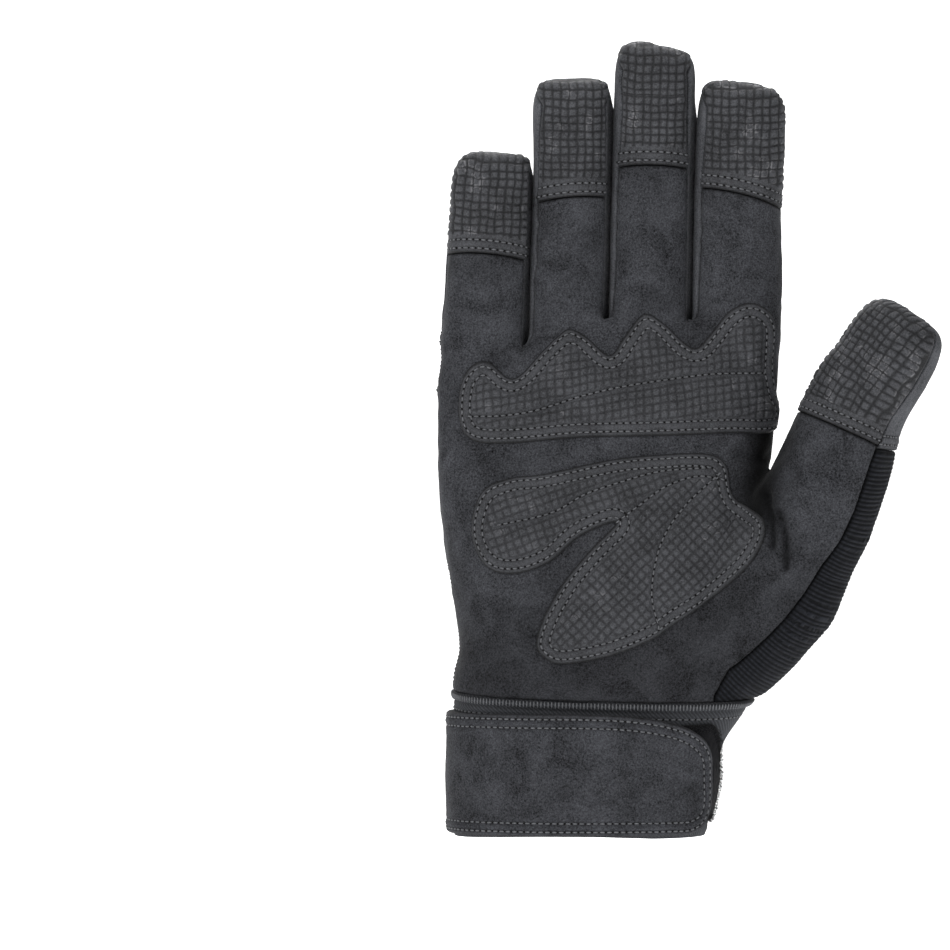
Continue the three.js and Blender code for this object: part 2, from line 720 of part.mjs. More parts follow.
// A band on the palm side of the cuff between two ends, lying at the given offsets.
function band({ startAngle, endX, low, high, endRadius, inner, outer }, steps, rows) {
  const middle = (low + high) / 2;
  const half = (high - low) / 2;
  const length = endX + cuffWidth / 2;
  return sheet(steps, rows, (along, up, out) => {
    const toEnd = Math.min((1 - along) * length, endRadius) / endRadius;
    const corner = half - endRadius + endRadius * Math.sqrt(1 - (1 - toEnd) ** 2);
    const z = middle + (up * 2 - 1) * corner;
    const offset = out ? outer(along) : inner(along);
    const start = typeof startAngle === 'function' ? startAngle(z) : startAngle;
    return cuffPoint(lerp(start, angleAt(endX, z, offset), along), z, offset);
  });
}

const patchStack = patchThickness + 2 * seam;
const strapSeat = (along) => seam + patchStack * smoothstep(along, 0.4, 0.6);
const strapMiddle = strapAboveHem + strapHeight / 2;
const strapSteps = 16;
const strapRows = 5;

const strap = band({
  startAngle: -Math.PI - degToRad(strapWrap),
  endX: strapEnd,
  low: strapAboveHem,
  high: strapAboveHem + strapHeight,
  endRadius: strapEndRadius,
  inner: strapSeat,
  outer: (along) => strapSeat(along) + strapThickness,
}, strapSteps, strapRows);

const patch = band({
  startAngle: (z) => angleAt(strapEnd - patchLength, z, 0),
  endX: strapEnd + 1,
  low: strapMiddle - patchHeight / 2,
  high: strapMiddle + patchHeight / 2,
  endRadius: patchHeight / 6,
  inner: () => seam,
  outer: () => seam + patchThickness,
}, 6, 4);

// Assembly

const glove = new THREE.Group();

// A cut can leave crumbs beside a panel, so only its largest piece is the panel.
function largestOf(solid) {
  return solid.decompose().reduce((best, piece) => (piece.volume() > best.volume() ? piece : best));
}

function addPiece(name, solid, material) {
  const { vertProperties, triVerts } = largestOf(solid).getMesh();
  const geometry = new THREE.BufferGeometry();
  geometry.setAttribute('position', new THREE.BufferAttribute(Float32Array.from(vertProperties), 3));
  geometry.setIndex(Array.from(triVerts));
  geometry.computeVertexNormals();
  const mesh = new THREE.Mesh(geometry, material);
  mesh.name = name;
  glove.add(mesh);
}

// Each panel keeps clear of the grown regions of the panels that were cut before it.
const claimed = [];

function addPanel(name, source, region, material) {
  const free = claimed.reduce((rest, taken) => rest.subtract(taken), source.intersect(region(0)));
  addPiece(name, free, material);
  claimed.push(region(seam));
}

for (let i = 0; i < fingerParts.length - 1; i += 1) {
  const [left, right] = [fingerParts[i], fingerParts[i + 1]];
  const region = (grow) => cheekRegion(left, right, grow);
  addPanel(`cheek_${left.name}_${right.name}`, wall, region, finish.backSuede);
}
for (const finger of fingerParts) {
  addPanel(`${finger.name}_back_cap`, wall, (grow) => capRegion(finger, grow), finish.backSuede);
}
for (const finger of fingerParts) {
  addPanel(`${finger.name}_grip_tip`, gripWall, (grow) => gripRegion(finger, grow), finish.grip);
}
addPanel('thumb_back_cap', wall, thumbCapRegion, finish.backSuede);
addPanel('thumb_grip_tip', gripWall, thumbGripRegion, finish.grip);
addPanel('thumb_back_knit', wall, thumbKnitRegion, finish.knit);
addPanel('back_panel', wall, () => backRegion(), finish.knit);
const palmPanel = claimed.slice(0, -1).reduce((rest, taken) => rest.subtract(taken), wall);
addPiece('palm_panel', palmPanel.subtract(backRegion()), finish.palmSuede);

addPiece('knuckle_pad', pad(knucklePadEdge), finish.grip);
addPiece('heel_pad', pad(heelPadEdge), finish.grip);
addPiece('cuff_elastic', cuff, finish.elastic);
addPiece('wrist_strap', strap, finish.palmSuede);
addPiece('strap_hook_patch', patch, finish.hookTape);

export default glove;
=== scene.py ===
"""A mechanic's work glove for the right hand, in suede, ribbed knit and elastic.

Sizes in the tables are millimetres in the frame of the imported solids: +Z from the wrist to the
fingertips, the palm facing -Y and the thumb towards +X. Finished meshes are in metres.
"""

import collections
import functools
import math

import bpy
import numpy as np
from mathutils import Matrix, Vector, bvhtree, kdtree


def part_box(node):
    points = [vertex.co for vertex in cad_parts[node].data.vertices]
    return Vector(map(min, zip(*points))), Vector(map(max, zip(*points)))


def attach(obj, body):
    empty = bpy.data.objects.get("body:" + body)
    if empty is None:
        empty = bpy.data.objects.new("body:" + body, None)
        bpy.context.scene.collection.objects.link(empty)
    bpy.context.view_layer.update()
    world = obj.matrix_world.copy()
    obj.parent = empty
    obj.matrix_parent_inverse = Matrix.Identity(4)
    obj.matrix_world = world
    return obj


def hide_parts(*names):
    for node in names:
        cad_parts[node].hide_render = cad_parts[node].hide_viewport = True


bl_info = {
    "name": "Mechanic Glove",
    "version": (1, 0, 0),
    "blender": (4, 5, 0),
    "location": "3D View > Sidebar > Glove",
    "description": "Builds a work glove piece by piece round its packed solids",
    "category": "Object",
}

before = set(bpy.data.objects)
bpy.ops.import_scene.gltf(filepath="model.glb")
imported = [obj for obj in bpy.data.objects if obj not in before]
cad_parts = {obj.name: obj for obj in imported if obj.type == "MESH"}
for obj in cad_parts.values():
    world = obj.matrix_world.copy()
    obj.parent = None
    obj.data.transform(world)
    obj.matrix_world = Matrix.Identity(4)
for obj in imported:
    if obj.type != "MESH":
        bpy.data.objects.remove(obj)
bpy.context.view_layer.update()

NOMINAL_LENGTH = 245.3          # hem to middle fingertip in the tables below
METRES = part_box("middle_back_cap")[1].z / NOMINAL_LENGTH     # metres for one unit of the tables
MILLIMETRE = 0.001

# The hand's sizes

PALM_WIDTH = 107.0
PALM_MIDDLE = 9.4
PALM_HEIGHT = 119.0
HAND_DEPTH = 54.0
PALM_SQUARENESS = 2.5
FINGER_LENGTH = 94.7
FINGER_WIDTH = 25.0
FINGER_DEPTH = 22.0
FINGER_CURL = 12.0
FINGER_SQUARENESS = 2.4
TIP_RADIUS = 9.0
THUMB_REACH = 71.0
THUMB_RISE = 112.3
THUMB_FORWARD = 24.0
THUMB_WIDTH = 34.0
THUMB_DEPTH = 31.0
THUMB_TURN = math.radians(32)
THUMB_TIP_RADIUS = 12.0
THUMB_BASE_RISE = 4.9
THUMB_BASE_ACROSS = 0.404       # share of the palm's half width
CROTCH_DROP = 13.0
LITTLE_DROP = 9.0
CUFF_HEIGHT = 43.6
CUFF_WIDTH = 78.0
CUFF_DEPTH = 52.0
CUFF_FLARE = 14.0
CUFF_RISE_TO_BACK = 3.7
CUFF_FALL_TO_THUMB = 2.6
STRAP_HEIGHT = 37.5
STRAP_ABOVE_HEM = 1.0
STRAP_THICKNESS = 2.2
STRAP_END = 41.2
STRAP_WRAP = math.radians(20)
PATCH_THICKNESS = 1.2
PATCH_LENGTH = 30.0
PATCH_HEIGHT = 30.0
HALF_PALM = PALM_WIDTH / 2
FINGER_ROOT = CUFF_HEIGHT + PALM_HEIGHT - CROTCH_DROP

SEAM_GAP = 0.08                 # left open at each side of a seam
FINGER_GAP = 0.35               # between two fingers that lie side by side
SLIT_SLANT = 0.48               # how far the gaps lean, so that no light comes through
SPREAD = 5.0                    # neighbouring fingers are this much further apart while the form is meshed
SKIN = 1.3                      # thickness of suede and knit
CELL = 1.35      # about the edge length of the hand's skin
FINE = 1.45      # edge length of a finished face, times the piece's own share
ROWS = (1.5, 4.1)               # how far in from a sewn edge its two stitch rows lie
CUFF_SIDES = 380
CUFF_OUTER_ROWS, CUFF_INNER_ROWS, CUFF_TURN_ROWS = 56, 10, 5
STRAP_GRID = ((220, 64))
PATCH_GRID = (60, 50)           # points along and up, as for the strap
PALM_SECTIONS, PALM_SIDES = 110, 160
FINGER_SECTIONS, TIP_SECTIONS, DIGIT_SIDES = 60, 28, 72
THUMB_SECTIONS, THUMB_TIP_SECTIONS = 76, 30
LEAN_REACH, FALL_REACH = 16, 14         # how far below the very tip a finger's lean and fall begin

# Palm sections. up: share of the palm's height; little, thumb: side edges, shares of its half
# width; palm, back: its two faces, shares of the half depth.
PALM_ROWS = [
    (-0.12, -0.905, 0.830, 1.00, 0.96),
    (0.00, -0.905, 0.815, 1.00, 0.96),
    (0.12, -0.870, 0.790, 1.00, 0.85),
    (0.26, -0.915, 0.800, 0.96, 0.79),
    (0.39, -0.955, 0.865, 0.89, 0.75),
    (0.54, -0.990, 0.910, 0.77, 0.70),
    (0.69, -1.000, 0.955, 0.62, 0.64),
    (0.82, -1.000, 0.985, 0.52, 0.55),
    (0.89, -1.000, 1.000, 0.45, 0.46),
    (0.94, -0.990, 0.985, 0.37, 0.35),
]

# Fingers. length: share of FINGER_LENGTH; root, middle, tip: the middle line, shares of the palm's
# half width; root_width, tip_width: shares of FINGER_WIDTH; cap, grip: lower edges of the cap and grip
# piece, shares of the length, on the little and the thumb side; lean: which corner of the tip is
# rounder; fall: millimetres that the tip falls to the thumb side.
Finger = collections.namedtuple(
    "Finger", "name length root middle tip root_width tip_width cap grip lean fall",
)
FINGERS = [
    Finger("little", 0.655, -0.742, -0.700, -0.662, 1.09, 0.98, (0.07, 0.30), (0.50, 0.46), -0.12, 0.0),
    Finger("ring", 0.892, -0.247, -0.212, -0.217, 0.97, 1.00, (0.26, 0.39), (0.55, 0.57), -0.05, 0.0),
    Finger("middle", 1.000, 0.234, 0.243, 0.266, 1.01, 1.01, (0.39, 0.31), (0.605, 0.60), 0.02, 1.3),
    Finger("index", 0.880, 0.742, 0.745, 0.760, 1.12, 1.05, (0.42, 0.36), (0.615, 0.545), 0.14, 0.6),
]
# Share of a finger's length, and of its width and depth there.
FINGER_ROWS = [(-0.12, 0.86), (0.06, 1.00), (0.34, 0.99), (0.62, 0.99)]
# Round ends. below: share of the tip radius below the very tip; width, depth: shares.
TIP_ROWS = [
    (1.30, 1.00, 1.00), (1.00, 0.995, 0.985), (0.70, 0.975, 0.94), (0.42, 0.93, 0.87), (0.22, 0.86, 0.76),
    (0.08, 0.74, 0.60), (0.00, 0.55, 0.38), (-0.03, 0.30, 0.18), (-0.04, 0.02, 0.02),
]
# Thumb. reach, rise, ahead: its middle line; width, depth: shares of its own; outer, web: its back seams.
THUMB_ROWS = [
    (0.00, 0.00, 0.10, 0.85, 0.95, -0.90, 0.40),
    (0.20, 0.11, 0.22, 1.17, 1.16, -0.85, 0.30),
    (0.39, 0.25, 0.40, 1.26, 1.20, -0.78, 0.15),
    (0.49, 0.36, 0.50, 1.17, 1.10, -0.66, 0.10),
    (0.59, 0.47, 0.60, 1.10, 1.03, -0.57, 0.10),
    (0.70, 0.65, 0.78, 0.97, 1.00, -0.50, 0.10),
    (0.75, 0.74, 0.85, 0.87, 0.98, -0.30, 0.10),
]
THUMB_TIP_SHARES = (0.82, 0.90, -0.15, 0.10)   # width, depth, outer and web seam at the round end
THUMB_CAP_EDGE = (0.625, 0.665)
THUMB_GRIP_EDGE = (0.60, 0.76)

CHEEKS_PALM = (0.46, 0.70)      # how far the cheeks reach towards the palm, at a finger's root and tip
CHEEKS_BACK = (0.84, 0.62)      # and towards the back
TONGUE_INSET = 3.2
TONGUE_BOTTOM = 2.5
TONGUE_TOP = 12.0
INDEX_WRAP = 0.7
PAST_SIDE, PAST_BELOW, PAST_ABOVE = 3.0, -0.3, 1.6     # corners beyond the palm, in its shares
THUMB_END_SIDE, THUMB_END_BOTTOM, THUMB_TOP = 64.8, 118, 172

# Seams of the knitted back and the pads' outlines, in shares of the palm's half width and height.
CRESCENT_SEAM = [(-1.01, 0.82), (-0.86, 0.72), (-0.80, 0.60), (-0.80, 0.48), (-0.88, 0.36), (-1.01, 0.27)]
INDEX_SEAM = [
    (0.925, 1.00), (0.925, 0.89), (0.895, 0.77), (0.86, 0.64),
    (0.845, 0.52), (0.89, 0.41), (1.00, 0.32), (1.13, 0.26),
]
THUMB_SEAM = [(1.13, 0.26), (1.05, 0.15), (0.94, 0.05), (0.815, -0.02)]
THUMB_PALM_LINE = [(0.60, -0.2), (0.60, 0.0), (0.82, 0.2), (1.0, 0.36), (1.1, 0.5), (1.1, 1.2)]
KNUCKLE_PAD = [
    (-0.56, 0.823), (-0.40, 0.890), (-0.300, 0.935), (-0.230, 0.953), (-0.13, 0.930), (-0.007, 0.884),
    (0.07, 0.925), (0.163, 0.981), (0.224, 0.993), (0.318, 0.965), (0.478, 0.903),
    (0.58, 0.940), (0.686, 0.998), (0.809, 1.022), (0.918, 1.000), (0.957, 0.955),
    (0.945, 0.850), (0.962, 0.780), (0.955, 0.690), (0.67, 0.682), (0.285, 0.675), (-0.175, 0.670),
    (-0.60, 0.655), (-0.80, 0.665), (-0.87, 0.72), (-0.86, 0.81), (-0.80, 0.858), (-0.70, 0.868),
]
HEEL_PAD = [
    (-0.383, 0.576), (-0.022, 0.611), (0.285, 0.626), (0.564, 0.628), (0.671, 0.597), (0.690, 0.543),
    (0.718, 0.511), (0.794, 0.490), (0.876, 0.459), (0.878, 0.410), (0.794, 0.341), (0.594, 0.258),
    (0.363, 0.188), (0.224, 0.147), (-0.022, 0.105), (-0.284, 0.085), (-0.390, 0.105), (-0.430, 0.140),
    (-0.383, 0.210), (-0.267, 0.300), (-0.114, 0.382), (0.03, 0.451),
    (-0.176, 0.416), (-0.353, 0.348), (-0.56, 0.318), (-0.72, 0.34),
    (-0.80, 0.43), (-0.74, 0.53), (-0.58, 0.565),
]
# Quilt lines, the line between the heel pad's lobes, folds beside the thumb, which are also painted
# darker as shade, the line of painted shadow in the hollow above them, and creases, in millimetres across and
# up.
KNUCKLE_QUILT = [
    (-34.0, 130.0), (-24.0, 130.2), (-13.2, 131.9), (0.0, 136.1), (12.4, 139.0),
    (27.5, 141.4), (41.2, 143.1), (57.5, 143.5),
]
UPPER_QUILT = [(-25.0, 96.5), (-9.1, 100.2), (1.6, 106.0), (12.4, 109.7), (24.7, 113.0), (40.0, 114.2)]
LEAF_QUILT = [(42.9, 112.2), (32.1, 102.3), (24.7, 90.8), (21.8, 76.0), (23.9, 65.0)]
LOBE_SEAM = [(11.5, 97.6), (18.0, 102.5), (26.4, 108.4), (36.0, 111.5), (44.0, 110.5)]
WEB_FOLDS = [
    [(57.7, 105.5), (58.6, 100.5), (59.3, 95.6), (59.0, 90.0)],
    [(61.0, 100.6), (62.4, 95.0), (63.0, 90.0), (63.0, 83.4)],
]
PALM_HOLLOW_SHADOW = [(60, 138), (59, 126), (56.5, 112), (54, 101)]
CREASES = [
    # line, depth, width
    ([(-44, 113), (-34, 117), (-20, 117.5), (-4, 118.6)], 0.5, 1.4),
    ([(50, 118), (58, 116.5), (62, 121), (64, 130)], 0.9, 1.8),
    ([(-43, 70), (-34, 74), (-24, 72)], 0.6, 1.6),
    ([(-40, 58), (-30, 60), (-18, 55)], 0.5, 1.5),
    ([(30, 60), (40, 66), (50, 76), (60, 84)], 0.6, 1.7),
    ([(40, 54), (52, 66), (62, 79), (72, 95)], 0.4, 2.0),
    ([(66, 104), (72, 107), (80, 112)], 0.5, 1.4),
    ([(63, 110), (68, 115), (77, 121)], 0.6, 1.5),
]


# Curves and numbers

def monotone(xs, ys, at):
    """A smooth curve through table rows that never swings past them."""
    xs, ys = np.asarray(xs, float), np.asarray(ys, float)
    steps = np.diff(xs)[:, None]
    slopes = np.diff(ys, axis=0) / steps
    tangents = np.concatenate([slopes[:1], np.zeros_like(slopes[1:]), slopes[-1:]])
    left, right = slopes[:-1], slopes[1:]
    near, far = 2 * steps[1:] + steps[:-1], steps[1:] + 2 * steps[:-1]
    same = left * right > 0
    safe_left, safe_right = np.where(same, left, 1), np.where(same, right, 1)
    tangents[1:-1] = np.where(same, (near + far) / (near / safe_left + far / safe_right), 0)
    k = np.clip(np.searchsorted(xs, at) - 1, 0, len(xs) - 2)
    width = steps[k]
    t = np.clip((np.asarray(at) - xs[k])[:, None] / width, 0, 1)
    return (
        ys[k] * (1 + 2 * t) * (1 - t) ** 2 + tangents[k] * width * t * (1 - t) ** 2
        + ys[k + 1] * t * t * (3 - 2 * t) + tangents[k + 1] * width * t * t * (t - 1)
    )


def smoothstep(value, low, high):
    share = np.clip((value - low) / (high - low), 0, 1)
    return share * share * (3 - 2 * share)


def mix(a, b, share):
    return a + (b - a) * share


def bell(value, width):
    return np.exp(-(value / width) ** 2)


def unit(vectors):
    return vectors / np.maximum(np.linalg.norm(vectors, axis=-1, keepdims=True), 1e-12)


def on_palm(places):
    """Shares of the palm's half width and height, as millimetres across and up."""
    places = np.asarray(places, float)
    across = PALM_MIDDLE + places[..., 0] * HALF_PALM
    return np.stack([across, CUFF_HEIGHT + places[..., 1] * PALM_HEIGHT], -1)


def rounded(angles, squareness):
    """Points of a rounded rectangle's outline, in shares of its half axes."""
    cos, sin = np.cos(angles), np.sin(angles)
    return np.sign(cos) * np.abs(cos) ** (2 / squareness), np.sign(sin) * np.abs(sin) ** (2 / squareness)


def curved(points, steps=6, closed=False):
    """A smooth line through points."""
    points = np.asarray(points, float)
    if closed:
        ring = np.vstack([points[-1:], points, points[:2]])
    else:
        ring = np.vstack([2 * points[0] - points[1], points, 2 * points[-1] - points[-2]])
    shares = (np.arange(steps) / steps)[:, None]
    parts = []
    for p0, p1, p2, p3 in zip(ring, ring[1:], ring[2:], ring[3:]):
        parts.append(0.5 * (
            2 * p1 + (p2 - p0) * shares + (2 * p0 - 5 * p1 + 4 * p2 - p3) * shares ** 2
            + (3 * p1 - p0 - 3 * p2 + p3) * shares ** 3
        ))
    if not closed:
        parts.append(points[-1:])
    return np.concatenate(parts)


def run_along(points):
    """The length of a line of points up to each of them."""
    return np.concatenate([[0], np.cumsum(np.linalg.norm(np.diff(points, axis=0), axis=1))])


def from_line(spots, line, closed=False):
    """Distance of each spot to a line of points."""
    line = np.asarray(line, float)
    ends = np.vstack([line, line[:1]]) if closed else line
    best = np.full(len(spots), 1e9)
    for a, b in zip(ends[:-1], ends[1:]):
        along = b - a
        share = np.clip(((spots - a) @ along) / max(along @ along, 1e-12), 0, 1)
        best = np.minimum(best, ((spots - a - share[:, None] * along) ** 2).sum(1))
    return np.sqrt(best)


def within(spots, outline):
    """Distance of each spot to a closed outline, positive inside it."""
    outline = np.asarray(outline, float)
    x, z = spots[:, 0], spots[:, 1]
    inside = np.zeros(len(spots), bool)
    for (ax, az), (bx, bz) in zip(outline, np.roll(outline, -1, axis=0)):
        if az != bz:
            inside ^= ((az > z) != (bz > z)) & (x < (bx - ax) * (z - az) / (bz - az) + ax)
    distance = from_line(spots, outline, closed=True)
    return np.where(inside, distance, -distance)


def ripple(points, size, seed):
    """Soft random swells about as wide as size, between -1 and 1."""
    random = np.random.default_rng(seed)
    total = np.zeros(len(points))
    for _ in range(18):
        direction = unit(random.normal(size=3)) * 2 * math.pi / (size * random.uniform(0.7, 1.6))
        total += np.sin(points @ direction + random.uniform(0, 2 * math.pi))
    return total / 6


def nearest(spots, targets):
    """Distance of each spot to the nearest of the targets."""
    tree = kdtree.KDTree(len(targets))
    for k, target in enumerate(targets):
        tree.insert(target, k)
    tree.balance()
    return np.array([tree.find(spot)[2] for spot in spots])


# Meshes as arrays

class Skin:
    """Points and triangles of a surface."""

    def __init__(self, points, faces, values=None):
        self.points = np.asarray(points, float)
        self.faces = np.asarray(faces, np.int64)
        self.values = dict(values or {})

    def edges(self):
        """The two points of each edge, the three edges of each face, and how many faces share each edge."""
        pairs = np.sort(self.faces[:, [0, 1, 1, 2, 2, 0]].reshape(-1, 2), axis=1)
        keys = pairs[:, 0] * len(self.points) + pairs[:, 1]
        unique, inverse, count = np.unique(keys, return_inverse=True, return_counts=True)
        both = np.stack([unique // len(self.points), unique % len(self.points)], 1)
        return both, inverse.reshape(-1, 3), count

    def normals(self):
        a, b, c = (self.points[self.faces[:, k]] for k in range(3))
        face = np.cross(b - a, c - a)
        total = np.zeros_like(self.points)
        for k in range(3):
            for axis in range(3):
                total[:, axis] += np.bincount(self.faces[:, k], face[:, axis], len(self.points))
        return unit(total)

    def compact(self):
        """Drops the points that no face uses."""
        used, faces = np.unique(self.faces, return_inverse=True)
        values = {name: value[used] for name, value in self.values.items()}
        return Skin(self.points[used], faces.reshape(-1, 3), values)

    def with_new_points(self, first, second, share):
        """The points and values, with new ones that lie at this share from the first to the second."""
        def grown(array):
            weight = share.reshape((-1,) + (1,) * (array.ndim - 1))
            return np.concatenate([array, array[first] * (1 - weight) + array[second] * weight])
        return grown(self.points), {name: grown(value) for name, value in self.values.items()}

    def smoothed(self, rounds, weight=None, keep_size=True):
        """Evens the surface out. With keep_size, each round is followed by one that swells it back."""
        edges = self.edges()[0]
        count = np.maximum(np.bincount(edges.ravel(), minlength=len(self.points)), 1)[:, None]
        weight = np.ones((len(self.points), 1)) if weight is None else weight[:, None]
        points = self.points
        factors = [0.5, -0.52] if keep_size else [0.5]
        for factor in factors * rounds:
            total = np.stack([
                np.bincount(edges[:, 0], points[edges[:, 1], axis], len(points))
                + np.bincount(edges[:, 1], points[edges[:, 0], axis], len(points))
                for axis in range(3)
            ], 1)
            points = points + (total / count - points) * factor * weight
        return Skin(points, self.faces, self.values)

    def refined(self, wanted, rounds=5, keep_rim=False):
        """Splits the edges that wanted(skin, a, b) picks, and again, until none is left."""
        skin = self
        for _ in range(rounds):
            edges, of_face, count = skin.edges()
            chosen = wanted(skin, edges[:, 0], edges[:, 1])
            if keep_rim:
                chosen &= count > 1
            if not chosen.any():
                break
            half = np.full(int(chosen.sum()), 0.5)
            points, values = skin.with_new_points(edges[chosen, 0], edges[chosen, 1], half)
            number = np.full(len(edges), -1)
            number[chosen] = len(skin.points) + np.arange(len(half))
            skin = Skin(points, split_faces(skin.faces, number[of_face]), values)
        return skin

    def cut(self, field):
        """Keeps the part where the field is positive, with a clean edge where it is zero."""
        field = np.where(np.abs(field) < 1e-5, 1e-5, field)
        inside = field > 0
        edges, of_face, _ = self.edges()
        crossed = inside[edges[:, 0]] != inside[edges[:, 1]]
        first, second = edges[crossed, 0], edges[crossed, 1]
        points, values = self.with_new_points(first, second, field[first] / (field[first] - field[second]))
        number = np.full(len(edges), -1)
        number[crossed] = len(self.points) + np.arange(len(first))
        cross = number[of_face]
        held = inside[self.faces].sum(1)
        kept = [self.faces[held == 3]]
        for k in range(3):
            after, before = (k + 1) % 3, (k + 2) % 3
            one = (held == 1) & inside[self.faces[:, k]]
            kept.append(np.stack([self.faces[one, k], cross[one, k], cross[one, before]], 1))
            two = (held == 2) & ~inside[self.faces[:, k]]
            kept.append(np.stack([cross[two, k], self.faces[two, after], self.faces[two, before]], 1))
            kept.append(np.stack([cross[two, k], self.faces[two, before], cross[two, before]], 1))
        return Skin(points, np.concatenate(kept), values).compact()

    def without_crumbs(self, share=0.04):
        """Drops separate bits with less than this share of the faces."""
        label = np.arange(len(self.points))
        edges = self.edges()[0]
        for _ in range(400):
            low = np.minimum(label[edges[:, 0]], label[edges[:, 1]])
            new = label.copy()
            np.minimum.at(new, edges[:, 0], low)
            np.minimum.at(new, edges[:, 1], low)
            new = new[new]
            if (new == label).all():
                break
            label = new
        of_face = label[self.faces[:, 0]]
        names, counts = np.unique(of_face, return_counts=True)
        big = names[counts >= share * len(self.faces)]
        return Skin(self.points, self.faces[np.isin(of_face, big)], self.values).compact()

    def rim(self):
        """The open edges, each with its triangle on its left."""
        _, of_face, count = self.edges()
        alone = count[of_face] == 1
        return np.concatenate([self.faces[alone[:, k]][:, [k, (k + 1) % 3]] for k in range(3)])

    def contours(self, field, level, kept=None):
        """Lines on the surface where the field has this level: places and normals along each."""
        edges, of_face, _ = self.edges()
        over = field > level
        crossed = over[edges[:, 0]] != over[edges[:, 1]]
        if kept is not None:
            crossed &= kept[edges[:, 0]] & kept[edges[:, 1]]
        first, second = edges[crossed, 0], edges[crossed, 1]
        share = ((level - field[first]) / (field[second] - field[first]))[:, None]
        places = self.points[first] * (1 - share) + self.points[second] * share
        normals = self.normals()
        facing = unit(normals[first] * (1 - share) + normals[second] * share)
        number = np.full(len(edges), -1)
        number[crossed] = np.arange(len(first))
        cross = number[of_face]
        pairs = np.sort(cross[(cross >= 0).sum(1) == 2], axis=1)[:, 1:]
        return [(places[run], facing[run]) for run in chains(pairs)]

    def drawn_on(self, line, side=-1):
        """A line given across and up, laid on the surface's palm side, with its normals."""
        tree = bvhtree.BVHTree.FromPolygons(self.points.tolist(), self.faces.tolist())
        places, facing = [], []
        for x, z in line:
            spot, normal, _, _ = tree.ray_cast(Vector((x, side * 90, z)), Vector((0, -side, 0)))
            if spot is not None:
                places.append(spot)
                facing.append(normal)
        return np.array(places), np.array(facing)


def split_faces(faces, middles):
    """Splits triangles at the new points of their edges 01, 12 and 20, where they have one."""
    split = (middles >= 0).sum(1)
    f, m = faces[split == 3], middles[split == 3]
    out = [faces[split == 0], m]
    for k in range(3):
        out.append(np.stack([f[:, k], m[:, k], m[:, (k + 2) % 3]], 1))
    for k in range(3):
        after, before = (k + 1) % 3, (k + 2) % 3
        one = (split == 1) & (middles[:, k] >= 0)
        a, b, c, m = faces[one, k], faces[one, after], faces[one, before], middles[one, k]
        out += [np.stack([a, m, c], 1), np.stack([m, b, c], 1)]
        two = (split == 2) & (middles[:, k] < 0)
        a, b, c = faces[two, k], faces[two, after], faces[two, before]
        m, n = middles[two, after], middles[two, before]
        out += [np.stack([c, n, m], 1), np.stack([a, b, m], 1), np.stack([a, m, n], 1)]
    return np.concatenate(out)


def chains(pairs):
    """Joins pairs of numbers that share an end into runs."""
    beside = {}
    for a, b in pairs.tolist():
        beside.setdefault(a, []).append(b)
        beside.setdefault(b, []).append(a)
    runs, done = [], set()
    for start in [n for n, near in beside.items() if len(near) == 1] + list(beside):
        if start in done:
            continue
        run = [start]
        done.add(start)
        while True:
            onward = [n for n in beside[run[-1]] if n not in done]
            if not onward:
                break
            run.append(onward[0])
            done.add(onward[0])
        if len(run) > 2:
            runs.append(run + [run[0]] if run[0] in beside[run[-1]] else run)
    return runs


def lofted(rings):
    """Triangles through rings of equally many points, closed by a fan at both ends."""
    count, around = len(rings), len(rings[0])
    points = np.concatenate([*rings, [rings[0].mean(0), rings[-1].mean(0)]])
    ring, side = (part.ravel() for part in np.mgrid[:count - 1, :around])
    low, low_next = ring * around + side, ring * around + (side + 1) % around
    side = np.arange(around)
    after = (side + 1) % around
    bottom, top = count * around, count * around + 1
    last = (count - 1) * around
    return points, np.concatenate([
        np.stack([low, low_next, low_next + around], 1),
        np.stack([low, low_next + around, low + around], 1),
        np.stack([np.full(around, bottom), after, side], 1),
        np.stack([np.full(around, top), last + side, last + after], 1),
    ])


# The form of the hand

def crotch_shift(x, y, up):
    """Shift of the palm's upper end: up in front, down behind and at the little finger."""
    little, ring = on_palm([(-0.5, 0), (-0.2, 0)])[:, 0]
    drop = LITTLE_DROP * (1 - smoothstep(x, little, ring))
    return smoothstep(up, 0.6, PALM_ROWS[-1][0]) * (-CROTCH_DROP * y / FINGER_DEPTH - drop)


def palm_rings():
    """Sections of the palm, from inside the cuff up to the roots of the fingers."""
    rows = np.array(PALM_ROWS)
    ups = np.linspace(rows[0, 0], rows[-1, 0], PALM_SECTIONS)
    across, through = rounded(np.linspace(0, 2 * math.pi, PALM_SIDES, endpoint=False), PALM_SQUARENESS)
    rings = []
    for up, (little, thumb, palm, back) in zip(ups, monotone(rows[:, 0], rows[:, 1:], ups)):
        x = PALM_MIDDLE + ((little + thumb) / 2 + across * (thumb - little) / 2) * HALF_PALM
        y = through * np.where(through < 0, palm, back) * HAND_DEPTH / 2
        z = CUFF_HEIGHT + up * PALM_HEIGHT + crotch_shift(x, y, up)
        rings.append(np.stack([x, y, z], 1))
    return rings


